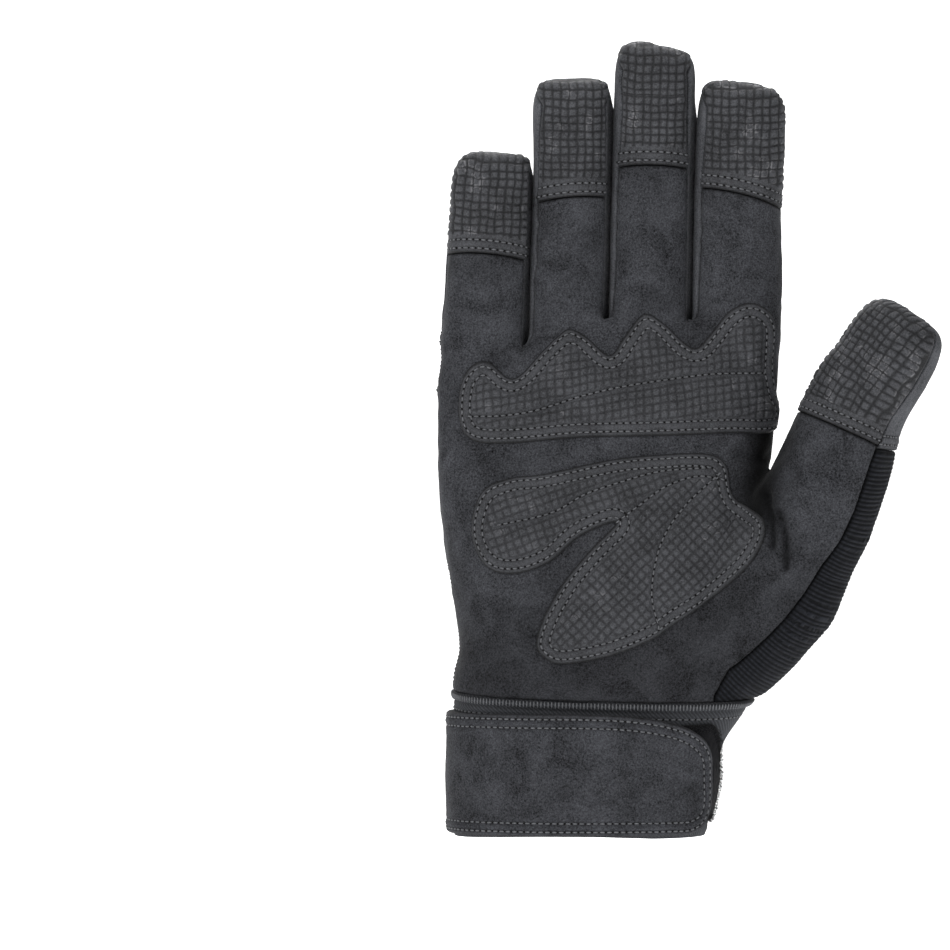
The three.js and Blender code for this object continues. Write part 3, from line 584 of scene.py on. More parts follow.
class Digit:
    """A finger or the thumb, as close sections along its middle line."""

    def __init__(self, centres, half_width, half_depth, turn=0.0, lean=0.0, fall=0.0, seams=None):
        self.centres = centres
        self.forward = unit(np.gradient(centres, axis=0))
        straight = unit(np.array([0, 1, 0]) - self.forward * self.forward[:, 1:2])
        self.through = straight * math.cos(turn) - np.cross(self.forward, straight) * math.sin(turn)
        self.across = np.cross(self.through, self.forward)
        self.half_width, self.half_depth = half_width, half_depth
        self.lean, self.fall = lean, fall
        self.seams = seams
        self.run = run_along(centres)

    def rings(self):
        """The digit's sections as closed rings of points."""
        across, through = rounded(np.linspace(0, 2 * math.pi, DIGIT_SIDES, endpoint=False), FINGER_SQUARENESS)
        widest = self.half_width[-20:].max()
        rings = []
        for k, centre in enumerate(self.centres):
            to_tip = self.run[-1] - self.run[k]
            narrower = widest - self.half_width[k] if to_tip < LEAN_REACH else 0
            fall = self.fall * across * np.clip((FALL_REACH - to_tip) / FALL_REACH, 0, 1)
            rings.append(
                centre - self.across[k] * self.lean * narrower
                + self.across[k] * (across * self.half_width[k])[:, None]
                + self.through[k] * (through * self.half_depth[k])[:, None]
                - self.forward[k] * fall[:, None]
            )
        return rings

    def place(self, spots):
        """Where spots lie along, across and through the digit, with its sizes there."""
        if not len(spots):
            return np.zeros((0, 8 if self.seams is not None else 6))
        near = np.concatenate([
            ((part[:, None, :] - self.centres[None, ::2]) ** 2).sum(2).argmin(1) * 2
            for part in np.array_split(spots, len(spots) // 20000 + 1)
        ])
        step = np.gradient(self.run)
        station = near + ((spots - self.centres[near]) * self.forward[near]).sum(1) / step[near]
        station = np.clip(station, 0, len(self.centres) - 1)
        low = np.minimum(station.astype(int), len(self.centres) - 2)
        share = (station - low)[:, None]
        table = np.column_stack([
            self.centres, self.across, self.through, self.run, self.half_width, self.half_depth,
            *([] if self.seams is None else [self.seams]),
        ])
        values = table[low] * (1 - share) + table[low + 1] * share
        offset = spots - values[:, :3]
        across = (offset * values[:, 3:6]).sum(1)
        through = (offset * values[:, 6:9]).sum(1)
        half_width, half_depth = values[:, 10], values[:, 11]
        power = FINGER_SQUARENESS
        radius = (np.abs(across / half_width) ** power + np.abs(through / half_depth) ** power) ** (1 / power)
        along, seams = values[:, 9], values[:, 12:]
        return np.column_stack([along, across, through, half_width, half_depth, radius, seams])


def make_finger(finger):
    length = finger.length * FINGER_LENGTH
    start = FINGER_ROOT - LITTLE_DROP / 3 if finger.name == "little" else FINGER_ROOT
    tips = [(1 - below * TIP_RADIUS / length, width, depth) for below, width, depth in TIP_ROWS]
    table = np.array([(along, size, size) for along, size in FINGER_ROWS] + tips)
    along = np.concatenate([
        np.linspace(table[0, 0], tips[0][0], FINGER_SECTIONS, endpoint=False),
        np.linspace(tips[0][0], tips[-1][0], TIP_SECTIONS),
    ])
    sizes = monotone(table[:, 0], table[:, 1:], along)
    places = finger.root, finger.middle, finger.tip
    root, middle, tip = (PALM_MIDDLE + place * HALF_PALM for place in places)
    x = mix(mix(root, middle, along), mix(middle, tip, along), along)
    y = -FINGER_CURL * (np.maximum(along, 0) * finger.length) ** 2
    z = start + along * (FINGER_ROOT + length - start)
    width = FINGER_WIDTH * mix(finger.root_width, finger.tip_width, np.clip(along, 0, 1)) * sizes[:, 0]
    depth = FINGER_DEPTH * sizes[:, 1]
    return Digit(np.stack([x, y, z], 1), width / 2, depth / 2, lean=finger.lean, fall=finger.fall)


def make_thumb():
    scale = np.array([THUMB_REACH, -THUMB_FORWARD, THUMB_RISE])
    base = np.array([on_palm((THUMB_BASE_ACROSS, 0))[0], 0, CUFF_HEIGHT + THUMB_BASE_RISE])
    rows = np.array(THUMB_ROWS)
    places = base + rows[:, [0, 2, 1]] * scale
    end = unit(base + scale - places[-1])
    tips = np.array([base + scale - end * below * THUMB_TIP_RADIUS for below, _, _ in TIP_ROWS])
    width, depth, outer, web = THUMB_TIP_SHARES
    ends = np.array([(width * w, depth * d, outer, web) for _, w, d in TIP_ROWS])
    table = np.column_stack([np.vstack([places, tips]), np.vstack([rows[:, 3:], ends])])
    run = run_along(table[:, :3])
    start = run[-len(tips)]
    at = np.concatenate([
        np.linspace(0, start, THUMB_SECTIONS, endpoint=False),
        np.linspace(start, run[-1], THUMB_TIP_SECTIONS),
    ])
    values = monotone(run, table, at)
    return Digit(
        values[:, :3], values[:, 3] * THUMB_WIDTH / 2, values[:, 4] * THUMB_DEPTH / 2,
        turn=THUMB_TURN, seams=values[:, 5:7],
    )


DIGITS = [make_finger(finger) for finger in FINGERS]
THUMB = make_thumb()


def slit(k, y, z):
    """The middle of the gap between finger k and the next one, at depths y and heights z."""
    left, right = DIGITS[k], DIGITS[k + 1]
    edges = []
    for digit, side in ((left, 1), (right, -1)):
        past_tip = np.arange(len(digit.run)) > FINGER_SECTIONS
        width = np.where(past_tip, digit.half_width[FINGER_SECTIONS], digit.half_width)
        edges.append(np.interp(z, digit.centres[:, 2], digit.centres[:, 0] + side * width))
    behind = np.maximum(y - np.interp(z, left.centres[:, 2], left.centres[:, 1]), -3)
    return (edges[0] + edges[1]) / 2 + SLIT_SLANT * behind


def spread_fingers(points, back=False):
    """Moves the fingers apart without changing their widths, or back together."""
    x, y, z = points.T
    open_share = smoothstep(z, FINGER_ROOT - 12, FINGER_ROOT)
    shift = -1.5 * SPREAD * open_share
    total = shift.copy()
    for k in range(3):
        start = slit(k, y, z) - FINGER_GAP / 2
        width = FINGER_GAP
        if back:
            start = start + shift + k * SPREAD * open_share
            width = FINGER_GAP + SPREAD * open_share
        total += SPREAD * open_share * np.clip((x - start) / width, 0, 1)
    moved = points.copy()
    moved[:, 0] = x - total if back else x + total
    return moved


def cuff_edge(points, clearance=0.0):
    """Height above the slanted line where the cuff's elastic ends."""
    x, y, z = points.T
    slant = CUFF_RISE_TO_BACK * y / HAND_DEPTH - CUFF_FALL_TO_THUMB * (x - PALM_MIDDLE) / PALM_WIDTH
    return z - (CUFF_HEIGHT + clearance + slant)


def linked(name, data):
    """A new object in the scene."""
    thing = bpy.data.objects.new(name, data)
    bpy.context.scene.collection.objects.link(thing)
    return thing


def to_object(name, points, faces):
    mesh = bpy.data.meshes.new(name)
    mesh.from_pydata(np.asarray(points).tolist(), [], np.asarray(faces).tolist())
    return linked(name, mesh)


def triangles_of(mesh):
    """A mesh's points and triangles as arrays."""
    points = np.empty(len(mesh.vertices) * 3)
    mesh.vertices.foreach_get("co", points)
    mesh.calc_loop_triangles()
    faces = np.empty(len(mesh.loop_triangles) * 3, np.int32)
    mesh.loop_triangles.foreach_get("vertices", faces)
    return points.reshape(-1, 3), faces.reshape(-1, 3)


def joined_form(parts):
    """One closed skin round overlapping closed parts."""
    points, faces, start = [], [], 0
    for part_points, part_faces in parts:
        points.append(part_points)
        faces.append(part_faces + start)
        start += len(part_points)
    rough = to_object("rough_form", np.concatenate(points), np.concatenate(faces))
    remesh = rough.modifiers.new("one_skin", "REMESH")
    remesh.mode = "VOXEL"
    remesh.voxel_size = CELL
    graph = bpy.context.evaluated_depsgraph_get()
    whole = bpy.data.meshes.new_from_object(rough.evaluated_get(graph))
    skin = Skin(*triangles_of(whole))
    bpy.data.objects.remove(rough)
    bpy.data.meshes.remove(whole)
    return skin


def pressed(digit, other, points, gap, side):
    """x of a finger's points where it lies against the next one: filled out to the gap and no further."""
    x, y, z = points.T
    middle, depth, half = (np.interp(z, digit.centres[:, 2], values) for values in (
        digit.centres[:, 0], digit.centres[:, 1], digit.half_width,
    ))
    wall = gap - side * FINGER_GAP / 2
    room = side * (wall - middle) - half
    ends = min(digit.centres[-1, 2], other.centres[-1, 2]) - TIP_RADIUS
    share = np.clip(side * (x - middle) / half, 0, 1) ** 2 * smoothstep(y - depth, -5, 1)
    filled = x + side * np.clip(room, 0, 2.5) * share * (1 - smoothstep(z, ends - 6, ends + 6))
    return side * np.minimum(side * filled, side * wall)


def near_edge(name, reach):
    """Picks a skin's longer edges where the field of this name is within reach of zero."""
    def wanted(skin, a, b):
        away = np.abs(skin.values[name])
        length = np.linalg.norm(skin.points[a] - skin.points[b], axis=1)
        return (np.minimum(away[a], away[b]) < reach) & (length > 0.62 * CELL)
    return wanted


@functools.lru_cache(maxsize=1)
def hand():
    """The hand's skin above the cuff, with soft folds, not yet cut into panels."""
    parts = [lofted(palm_rings()), lofted(THUMB.rings())]
    for k, digit in enumerate(DIGITS):
        points, faces = lofted(digit.rings())
        for other, side in ((k - 1, -1), (k + 1, 1)):
            if 0 <= other < len(DIGITS):
                gap = slit(min(k, other), *points[:, 1:].T)
                points[:, 0] = pressed(digit, DIGITS[other], points, gap, side)
        parts.append((points, faces))
    skin = joined_form([(spread_fingers(points), faces) for points, faces in parts])
    skin = skin.smoothed(6)
    points = skin.points
    at_roots = bell(points[:, 2] - FINGER_ROOT - 3, 11)
    thumb_radius = THUMB.place(points)[:, 5]
    at_web = bell(thumb_radius - 1.0, 0.22) * (points[:, 0] < 76) * smoothstep(points[:, 2], 42, 52)
    skin = skin.smoothed(16, weight=np.clip(0.8 * at_roots + at_web, 0, 1), keep_size=False)
    skin = Skin(spread_fingers(skin.points, back=True), skin.faces)
    skin = Skin(skin.points + skin.normals() * folds(skin)[:, None], skin.faces)
    fields = panel_fields(skin.points)
    skin.values["close"] = np.min(np.abs(np.stack(list(fields.values()))), axis=0)
    skin = skin.refined(near_edge("close", 1.1), rounds=1)
    return skin.cut(cuff_edge(skin.points, 0.3))


def folds(skin):
    """Heights of the soft folds and swells that a worn glove has."""
    points, normals = skin.points, skin.normals()
    x, y, z = points.T
    flat = points[:, [0, 2]]
    palm_side = smoothstep(-normals[:, 1], 0.0, 0.45)
    height = 0.32 * ripple(points, 26, 3) + 0.16 * ripple(points, 11, 5)
    for line in WEB_FOLDS:
        away = from_line(flat, curved(line))
        height -= palm_side * (1.9 * bell(away, 1.0) - 0.8 * bell(away - 2.6, 1.5))
    for line, depth, width in CREASES:
        away = from_line(flat, curved(line))
        height -= palm_side * depth * (bell(away, width) - 0.4 * bell(away - 2.4 * width, width))
    over_cuff = cuff_edge(points)
    back_side = smoothstep(normals[:, 1], 0.0, 0.4)
    height += (0.5 + 0.9 * back_side) * smoothstep(over_cuff, 0, 2.5) * (1 - smoothstep(over_cuff, 4, 15))
    for k, digit in enumerate(DIGITS):
        joint = digit.centres[0, 2] + 0.52 * digit.run[-1]
        middle = np.interp(z, digit.centres[:, 2], digit.centres[:, 0])
        on_finger = (np.abs(x - middle) < 15) & (z > FINGER_ROOT)
        wave = bell(z - joint - 0.6 * np.sin(x * 0.4 + k), 1.4) + 0.7 * bell(z - joint + 9 - 0.05 * x, 1.8)
        height -= 0.35 * on_finger * palm_side * wave
    for k in range(3):
        away = np.where(z > FINGER_ROOT - 8, np.abs(x - slit(k, y, z)), 9)
        height *= smoothstep(away, 0.4, 2.4)
    return height


# Panels as fields: distance in from each one's edge, in millimetres

OUTSIDE = -20.0


def tongue_outline(k):
    """The rounded tongue of the cheek after finger k on the back, across and up."""
    left, right = FINGERS[k], FINGERS[k + 1]
    left_edge = PALM_MIDDLE + left.root * HALF_PALM + left.root_width * FINGER_WIDTH / 2 - TONGUE_INSET
    right_edge = PALM_MIDDLE + right.root * HALF_PALM - right.root_width * FINGER_WIDTH / 2 + TONGUE_INSET
    bottom = FINGER_ROOT - TONGUE_BOTTOM - (LITTLE_DROP if k == 0 else 0)
    middle = (left_edge + right_edge) / 2
    top = FINGER_ROOT + TONGUE_TOP
    return curved([
        (left_edge, top), (left_edge + 0.4, bottom + 8), (middle - 2.4, bottom + 1.4), (middle, bottom),
        (middle + 2.4, bottom + 1.4), (right_edge - 0.4, bottom + 8), (right_edge, top),
    ])


def above_finger_edge(k, points, edge):
    """Height above the slanted, slightly arched edge of a finger's cap or grip piece."""
    finger = FINGERS[k]
    across = points[:, 0] - (PALM_MIDDLE + finger.middle * HALF_PALM)
    low, high = (FINGER_ROOT + part * finger.length * FINGER_LENGTH for part in edge)
    arch = 1 - (across / (FINGER_WIDTH / 2)) ** 2
    return points[:, 2] - ((low + high) / 2 + (high - low) * across / FINGER_WIDTH + arch)


def above_thumb_edge(points, edge):
    """Distance above the slanted edge of the thumb's cap or grip piece."""
    spots = []
    for rise, side in zip(edge, (1, -1)):
        x = on_palm((THUMB_BASE_ACROSS, 0))[0] + (rise + 0.04) * THUMB_REACH + side * 0.75 * THUMB_WIDTH
        spots.append((x, CUFF_HEIGHT + THUMB_BASE_RISE + rise * THUMB_RISE))
    (outer_x, outer_z), (web_x, web_z) = spots
    slope = (outer_z - web_z) / (outer_x - web_x)
    across = np.clip(points[:, 0], web_x, outer_x)
    return (points[:, 2] - web_z - slope * (across - web_x)) / math.hypot(1, slope)


def panel_fields(points):
    """The field of every panel but the palm, each one before those that it overlies."""
    x, y, z = points.T
    flat = points[:, [0, 2]]
    count = len(points)
    on_thumb_end = (x > THUMB_END_SIDE) & (z > THUMB_END_BOTTOM) & (z < THUMB_TOP)
    owner = sum((x > slit(k, y, z)).astype(int) for k in range(3))
    owner[on_thumb_end | (z < FINGER_ROOT - 16)] = -1
    fields = {f"cheek{k}": np.full(count, OUTSIDE) for k in range(3)}
    for k in range(4):
        fields[f"cap{k}"] = np.full(count, OUTSIDE)
        fields[f"grip{k}"] = np.full(count, OUTSIDE)
    for k, digit in enumerate(DIGITS):
        mine = np.nonzero(owner == k)[0]
        along, across, through, half_width, half_depth, _ = digit.place(points[mine]).T
        share = smoothstep(points[mine, 2], FINGER_ROOT, FINGER_ROOT + FINGER_LENGTH)
        border = np.where(through < 0, mix(*CHEEKS_PALM, share), mix(*CHEEKS_BACK, share))
        taper = 1 - smoothstep(along, digit.run[-1] - 7.5, digit.run[-1] - 0.8)
        band = border * half_depth * taper - np.abs(through) - 0.3 * (1 - taper)
        if k < 3:
            fields[f"cheek{k}"][mine] = np.minimum(band, across)
        if k > 0:
            fields[f"cheek{k - 1}"][mine] = np.minimum(band, -across)
        cap = np.minimum(through, above_finger_edge(k, points[mine], FINGERS[k].cap))
        if k == 3:
            cap = np.minimum(cap, INDEX_WRAP * half_width - across)
        fields[f"cap{k}"][mine] = cap
        fields[f"grip{k}"][mine] = np.minimum(-through, above_finger_edge(k, points[mine], FINGERS[k].grip))
    for k in range(3):
        tongue = np.minimum(within(flat, tongue_outline(k)), y + FINGER_DEPTH / 5)
        fields[f"cheek{k}"] = np.maximum(fields[f"cheek{k}"], tongue)
    fields.update(thumb_fields(points, on_thumb_end))
    side_top, side_end = CRESCENT_SEAM[0][1], CRESCENT_SEAM[-1][1]
    outline = np.vstack([
        on_palm([(-PAST_SIDE, PAST_ABOVE), (-PAST_SIDE, side_top)]),
        curved(on_palm(CRESCENT_SEAM)),
        on_palm([(-PAST_SIDE, side_end), (-PAST_SIDE, PAST_BELOW), (THUMB_SEAM[-1][0], PAST_BELOW)]),
        curved(on_palm((INDEX_SEAM + THUMB_SEAM[1:])[::-1])),
        on_palm([(INDEX_SEAM[0][0], PAST_ABOVE)]),
    ])
    fields["back"] = np.minimum(within(flat, outline), y)
    return fields


def thumb_fields(points, on_end):
    """The fields of the thumb's cap, grip piece and knit."""
    x, y, z = points.T
    flat = points[:, [0, 2]]
    _, across, through, half_width, half_depth, radius, outer, web = THUMB.place(points).T
    reach = half_width + 3
    line = mix(web, outer, np.clip((across + reach) / (2 * reach), 0, 1)) * half_depth
    nearby = (z < THUMB_TOP) & (x > 25) & (radius < 1.45)
    behind = np.where(nearby, np.minimum(through - line, reach - np.abs(across)), OUTSIDE)
    corners = [(PAST_SIDE, PAST_ABOVE), (PAST_SIDE, PAST_BELOW)]
    beside_cap = [(1.08, 0.32), (1.0, 0.45), (1.0, PAST_ABOVE)]
    knit_back = np.vstack([
        curved(on_palm(THUMB_SEAM[::-1])), on_palm(beside_cap + corners + [(THUMB_SEAM[-1][0], PAST_BELOW)]),
    ])
    knit_front = on_palm(THUMB_PALM_LINE + corners)
    side = np.maximum(
        np.minimum(within(flat, knit_back), y + 0.6),
        np.minimum(within(flat, knit_front), 0.6 - y),
    )
    cap = np.minimum(behind, above_thumb_edge(points, THUMB_CAP_EDGE))
    grip = np.minimum(line - through, above_thumb_edge(points, THUMB_GRIP_EDGE))
    return {
        "thumb_cap": np.where(on_end, cap, OUTSIDE),
        "thumb_grip": np.where(on_end, grip, OUTSIDE),
        "thumb_knit": np.minimum(behind, side),
    }


def panel_depth(fields, name):
    """How far in from its own edge each point of a panel lies, where earlier panels go first."""
    names = list(fields)
    before = names if name == "palm" else names[:names.index(name)]
    depth = np.full(len(fields["back"]), 99.0) if name == "palm" else fields[name]
    for other in before:
        depth = np.minimum(depth, -fields[other])
    return depth


# Finishing a panel

@functools.lru_cache(maxsize=1)
def hand_fields():
    """The panels' fields on the hand's skin."""
    return panel_fields(hand().points)


def edge_depth(skin):
    """Distance of each point from the open edge."""
    a, b = skin.points[skin.rim()].transpose(1, 0, 2)
    targets = np.concatenate([mix(a, b, share) for share in (0, 0.25, 0.5, 0.75)])
    return nearest(skin.points, targets)


def panel(name):
    """One panel's skin, with each point's distance from its edge."""
    skin = hand().cut(panel_depth(hand_fields(), name) - SEAM_GAP).without_crumbs()
    skin.values["edge"] = edge_depth(skin)
    return skin


def finer(skin, goal, rounds=3):
    """Splits long edges inside a skin until they are about as short as goal(skin) asks."""
    def wanted(s, a, b):
        length = np.linalg.norm(s.points[a] - s.points[b], axis=1)
        want = goal(s)
        return length > 1.3 * FINE * np.minimum(want[a], want[b])
    made = skin.refined(wanted, rounds, keep_rim=True)
    return made.smoothed(2, weight=(made.values["edge"] > 0.02).astype(float))


def rolled(edge, radius=0.9, depth=0.8):
    """The drop of an edge that is turned in."""
    inward = np.clip(1 - edge / radius, 0, 1)
    return -depth * (1 - np.sqrt(1 - inward ** 2))


def squares(across, along, pitch, groove=0.25):
    """Raised squares with softly domed tops: 1 on them and 0 in the grooves."""
    height = 1.0
    for value in (across, along):
        off_middle = np.abs((value / pitch) % 1 - 0.5) * 2
        height = height * (1 - smoothstep(off_middle, 1 - 2 * groove, 0.98)) * (1 - 0.22 * off_middle ** 2)
    return height


def row_dents(away, run, depth=0.3, pucker=2.4):
    """Grooves along the stitch rows, puckered along their run."""
    height = np.zeros(len(away))
    for row in ROWS:
        height -= depth * bell(away - row, 0.5) * (1 + 0.35 * np.cos(2 * math.pi * run / pucker))
    return height


def stitch_row_shade(away, width):
    """1 on the stitch rows and 0 away from them, where shade is painted along their grooves."""
    return sum(bell(away - row, width) for row in ROWS)


def detail(name):
    """One of the sizes that a user would change, in millimetres."""
    return getattr(bpy.context.scene.glove_sizes, name) / MILLIMETRE


class Finished:
    """A closed piece, with the values that its material reads at each point."""

    def __init__(self, outer, points, faces, tone, worn, cloth):
        self.outer, self.points, self.faces = outer, points, faces
        self.tone, self.worn, self.cloth = tone, worn, cloth

    def piece(self, name, slot):
        """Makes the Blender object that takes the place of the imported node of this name."""
        mesh = bpy.data.meshes.new(name)
        mesh.vertices.add(len(self.points))
        mesh.vertices.foreach_set("co", (self.points * METRES).ravel())
        mesh.loops.add(self.faces.size)
        mesh.loops.foreach_set("vertex_index", self.faces.ravel())
        mesh.polygons.add(len(self.faces))
        mesh.polygons.foreach_set("loop_start", np.arange(len(self.faces)) * 3)
        mesh.polygons.foreach_set("use_smooth", np.ones(len(self.faces), bool))
        mesh.update(calc_edges=True)
        for label, kind, key, array in (
            ("tone", "FLOAT", "value", self.tone),
            ("worn", "FLOAT", "value", self.worn),
            ("cloth", "FLOAT_VECTOR", "vector", self.cloth),
        ):
            data = mesh.attributes.new(label, kind, "POINT").data
            data.foreach_set(key, np.ascontiguousarray(array).ravel())
        mesh.materials.append(finishes()[slot])
        thing = linked(name, mesh)
        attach(thing, "root")
        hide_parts(name)
        return thing

    def row_lines(self, away, kept=None):
        """Lines on the outer face for the stitch rows, where away is the distance from the sewn edge."""
        return [line for row in ROWS for line in self.outer.contours(away, row, kept)]


def walled(base, fine, height, tone, worn=None, cloth=None, thickness=SKIN):
    """A piece with this outer face, raised by height, an inner face and a wall round its edge."""
    outer = Skin(fine.points + fine.normals() * height[:, None], fine.faces, fine.values)
    inner = base.points - base.normals() * thickness
    count, hidden = len(fine.points), len(inner)
    a, b = base.rim().T
    faces = np.concatenate([
        fine.faces, base.faces[:, ::-1] + count,
        np.stack([b, a, a + count], 1), np.stack([b, a + count, b + count], 1),
    ])
    worn = np.zeros(count) if worn is None else worn
    cloth = np.zeros((count, 3)) if cloth is None else cloth
    return Finished(
        outer, np.concatenate([outer.points, inner]), faces, np.concatenate([tone, np.full(hidden, 0.5)]),
        np.concatenate([worn, np.zeros(hidden)]), np.concatenate([cloth, cloth[:hidden]]),
    )


# Materials

def node(tree, kind, inputs=(), **settings):
    """Adds a node. inputs maps its sockets to values or to other nodes' outputs."""
    made = tree.nodes.new(kind)
    for key, value in settings.items():
        setattr(made, key, value)
    for key, value in dict(inputs).items():
        if isinstance(value, bpy.types.NodeSocket):
            tree.links.new(value, made.inputs[key])
        else:
            made.inputs[key].default_value = value
    return made


def maths(tree, operation, *values, clamp=False):
    made = node(tree, "ShaderNodeMath", operation=operation, use_clamp=clamp)
    for socket, value in zip(made.inputs, values):
        if isinstance(value, bpy.types.NodeSocket):
            tree.links.new(value, socket)
        else:
            socket.default_value = value
    return made.outputs[0]


def remap(tree, value, low, high, to_low, to_high):
    made = node(tree, "ShaderNodeMapRange", {
        "Value": value, "From Min": low, "From Max": high, "To Min": to_low, "To Max": to_high,
    })
    return made.outputs["Result"]


def group(name, inputs, outputs):
    """A new shader node group with float and vector sockets."""
    tree = bpy.data.node_groups.new(name, "ShaderNodeTree")
    for label, kind, default in inputs:
        socket = tree.interface.new_socket(name=label, in_out="INPUT", socket_type=kind)
        socket.default_value = default
    for label in outputs:
        tree.interface.new_socket(name=label, in_out="OUTPUT", socket_type="NodeSocketFloat")
    return tree, node(tree, "NodeGroupInput").outputs, node(tree, "NodeGroupOutput").inputs


@functools.lru_cache(maxsize=1)
def nap_group():
    """Nap of suede: fine grain, brushed patches and a little lint."""
    tree, given, out = group("suede_nap", [
        ("Place", "NodeSocketVector", (0, 0, 0)),
        ("Grain Size", "NodeSocketFloat", 0.0006),
        ("Contrast", "NodeSocketFloat", 0.3),
    ], ["Tone", "Height"])
    scale = maths(tree, "DIVIDE", 1.0, given["Grain Size"])
    grain = node(tree, "ShaderNodeTexNoise", {
        "Vector": given["Place"], "Scale": scale, "Detail": 3.0, "Roughness": 0.7,
    }).outputs["Fac"]
    patch = node(tree, "ShaderNodeTexNoise", {
        "Vector": given["Place"], "Scale": 95.0, "Detail": 4.0, "Roughness": 0.6, "Distortion": 0.5,
    }).outputs["Fac"]
    fibre = node(tree, "ShaderNodeTexNoise", {
        "Vector": given["Place"], "Scale": 3200.0, "Detail": 1.0, "Roughness": 0.5,
    }).outputs["Fac"]
    fine = maths(tree, "SUBTRACT", maths(tree, "ADD", grain, maths(tree, "MULTIPLY", fibre, 0.5)), 0.75)
    broad = maths(tree, "MULTIPLY", maths(tree, "SUBTRACT", patch, 0.5), 0.6)
    swing = maths(tree, "MULTIPLY", maths(tree, "ADD", fine, broad), given["Contrast"])
    tree.links.new(maths(tree, "ADD", 1.0, maths(tree, "MULTIPLY", swing, 3.4)), out["Tone"])
    tree.links.new(maths(tree, "ADD", grain, maths(tree, "MULTIPLY", fibre, 0.4)), out["Height"])
    return tree


@functools.lru_cache(maxsize=1)
def weave_group():
    """Crossing ribs of a cloth. Its coordinates are millimetres along and across the ribs."""
    tree, given, out = group("crossed_ribs", [
        ("Cloth", "NodeSocketVector", (0, 0, 0)),
        ("Rib Pitch", "NodeSocketFloat", 1.3),
        ("Wale Pitch", "NodeSocketFloat", 0.93),
        ("Slant", "NodeSocketFloat", 0.0),
    ], ["Rib", "Wale"])
    parts = node(tree, "ShaderNodeSeparateXYZ", {"Vector": given["Cloth"]}).outputs
    leaning = maths(tree, "ADD", parts["Y"], maths(tree, "MULTIPLY", parts["X"], given["Slant"]))
    for value, pitch, label in ((leaning, "Rib Pitch", "Rib"), (parts["X"], "Wale Pitch", "Wale")):
        turns = maths(tree, "MULTIPLY", maths(tree, "DIVIDE", value, given[pitch]), 2 * math.pi)
        wave = maths(tree, "MULTIPLY_ADD", maths(tree, "COSINE", turns), 0.5, 0.5)
        tree.links.new(wave, out[label])
    return tree


def attribute(tree, name, output="Fac"):
    return node(tree, "ShaderNodeAttribute", attribute_name=name).outputs[output]


def new_material(name, roughness, sheen, specular=0.25):
    material = bpy.data.materials.new(name)
    material.use_nodes = True
    tree = material.node_tree
    shader = tree.nodes["Principled BSDF"]
    shader.inputs["Roughness"].default_value = roughness
    shader.inputs["Sheen Weight"].default_value = sheen
    shader.inputs["Sheen Roughness"].default_value = 0.45
    shader.inputs["Specular IOR Level"].default_value = specular
    return material, tree, shader


WORN_COLOUR = (0.16, 0.16, 0.17)


def coloured(tree, shader, colour, tones, worn=None):
    """Feeds the shader a colour times all the tones, lighter where it is worn."""
    tone = tones[0]
    for other in tones[1:]:
        tone = maths(tree, "MULTIPLY", tone, other)
    base = node(tree, "ShaderNodeVectorMath", {0: tuple(colour[:3])}, operation="SCALE")
    tree.links.new(tone, base.inputs["Scale"])
    result = base.outputs[0]
    if worn is not None:
        inputs = {"Factor": worn, "A": result, "B": WORN_COLOUR}
        result = node(tree, "ShaderNodeMix", inputs, data_type="VECTOR").outputs["Result"]
    tree.links.new(result, shader.inputs["Base Color"])


def bumped(tree, shader, height, distance):
    bump = node(tree, "ShaderNodeBump", {"Height": height, "Distance": distance, "Strength": 1.0})
    tree.links.new(bump.outputs["Normal"], shader.inputs["Normal"])


def napped(tree, grain, contrast):
    """Places the suede_nap group and gives its outputs, Tone and Height."""
    place = node(tree, "ShaderNodeTexCoord").outputs["Object"]
    inputs = {"Place": place, "Grain Size": grain, "Contrast": contrast}
    return node(tree, "ShaderNodeGroup", inputs, node_tree=nap_group()).outputs


def suede(name, colour, roughness=0.95, sheen=0.03, contrast=1.0, grain=0.0006, specular=0.1):
    """Napped suede, paler and smoother where it is worn. contrast is that of its grain."""
    material, tree, shader = new_material(name, roughness, sheen, specular)
    nap = napped(tree, grain, contrast)
    worn = attribute(tree, "worn")
    coloured(tree, shader, colour, [attribute(tree, "tone"), nap["Tone"]], worn)
    tree.links.new(remap(tree, worn, 0.0, 1.0, roughness, 0.55), shader.inputs["Roughness"])
    bumped(tree, shader, nap["Height"], 0.00016)
    return material


def woven(name, colour, rib_pitch, wale_pitch, slant, low, distance):
    """Cloth with ribs, with shade painted between them. low is how dark it is there."""
    material, tree, shader = new_material(name, 0.9, 0.02, 0.1)
    weave = node(tree, "ShaderNodeGroup", {
        "Cloth": attribute(tree, "cloth", "Vector"),
        "Rib Pitch": rib_pitch, "Wale Pitch": wale_pitch, "Slant": slant,
    }, node_tree=weave_group()).outputs
    nap = napped(tree, 0.0005, 0.12)
    half_wale = maths(tree, "MULTIPLY_ADD", weave["Wale"], 0.5, 0.5)
    knots = maths(tree, "MULTIPLY", weave["Rib"], half_wale)
    shade = remap(tree, knots, 0.0, 1.0, low, 1.25)
    coloured(tree, shader, colour, [attribute(tree, "tone"), shade, nap["Tone"]])
    relief = maths(tree, "ADD", knots, maths(tree, "MULTIPLY", nap["Height"], 0.3))
    bumped(tree, shader, relief, distance)
    return material


def thread_material(name, colour, roughness=0.6):
    """Thread, whose shade and surface vary as twisted fibres do."""
    material, tree, shader = new_material(name, roughness, 0.02, 0.25)
    place = node(tree, "ShaderNodeTexCoord").outputs["Object"]
    twist = node(tree, "ShaderNodeTexNoise", {"Vector": place, "Scale": 1800.0, "Detail": 2.0}).outputs["Fac"]
    coloured(tree, shader, colour, [remap(tree, twist, 0.3, 0.7, 0.7, 1.25)])
    bumped(tree, shader, twist, 0.0001)
    return material


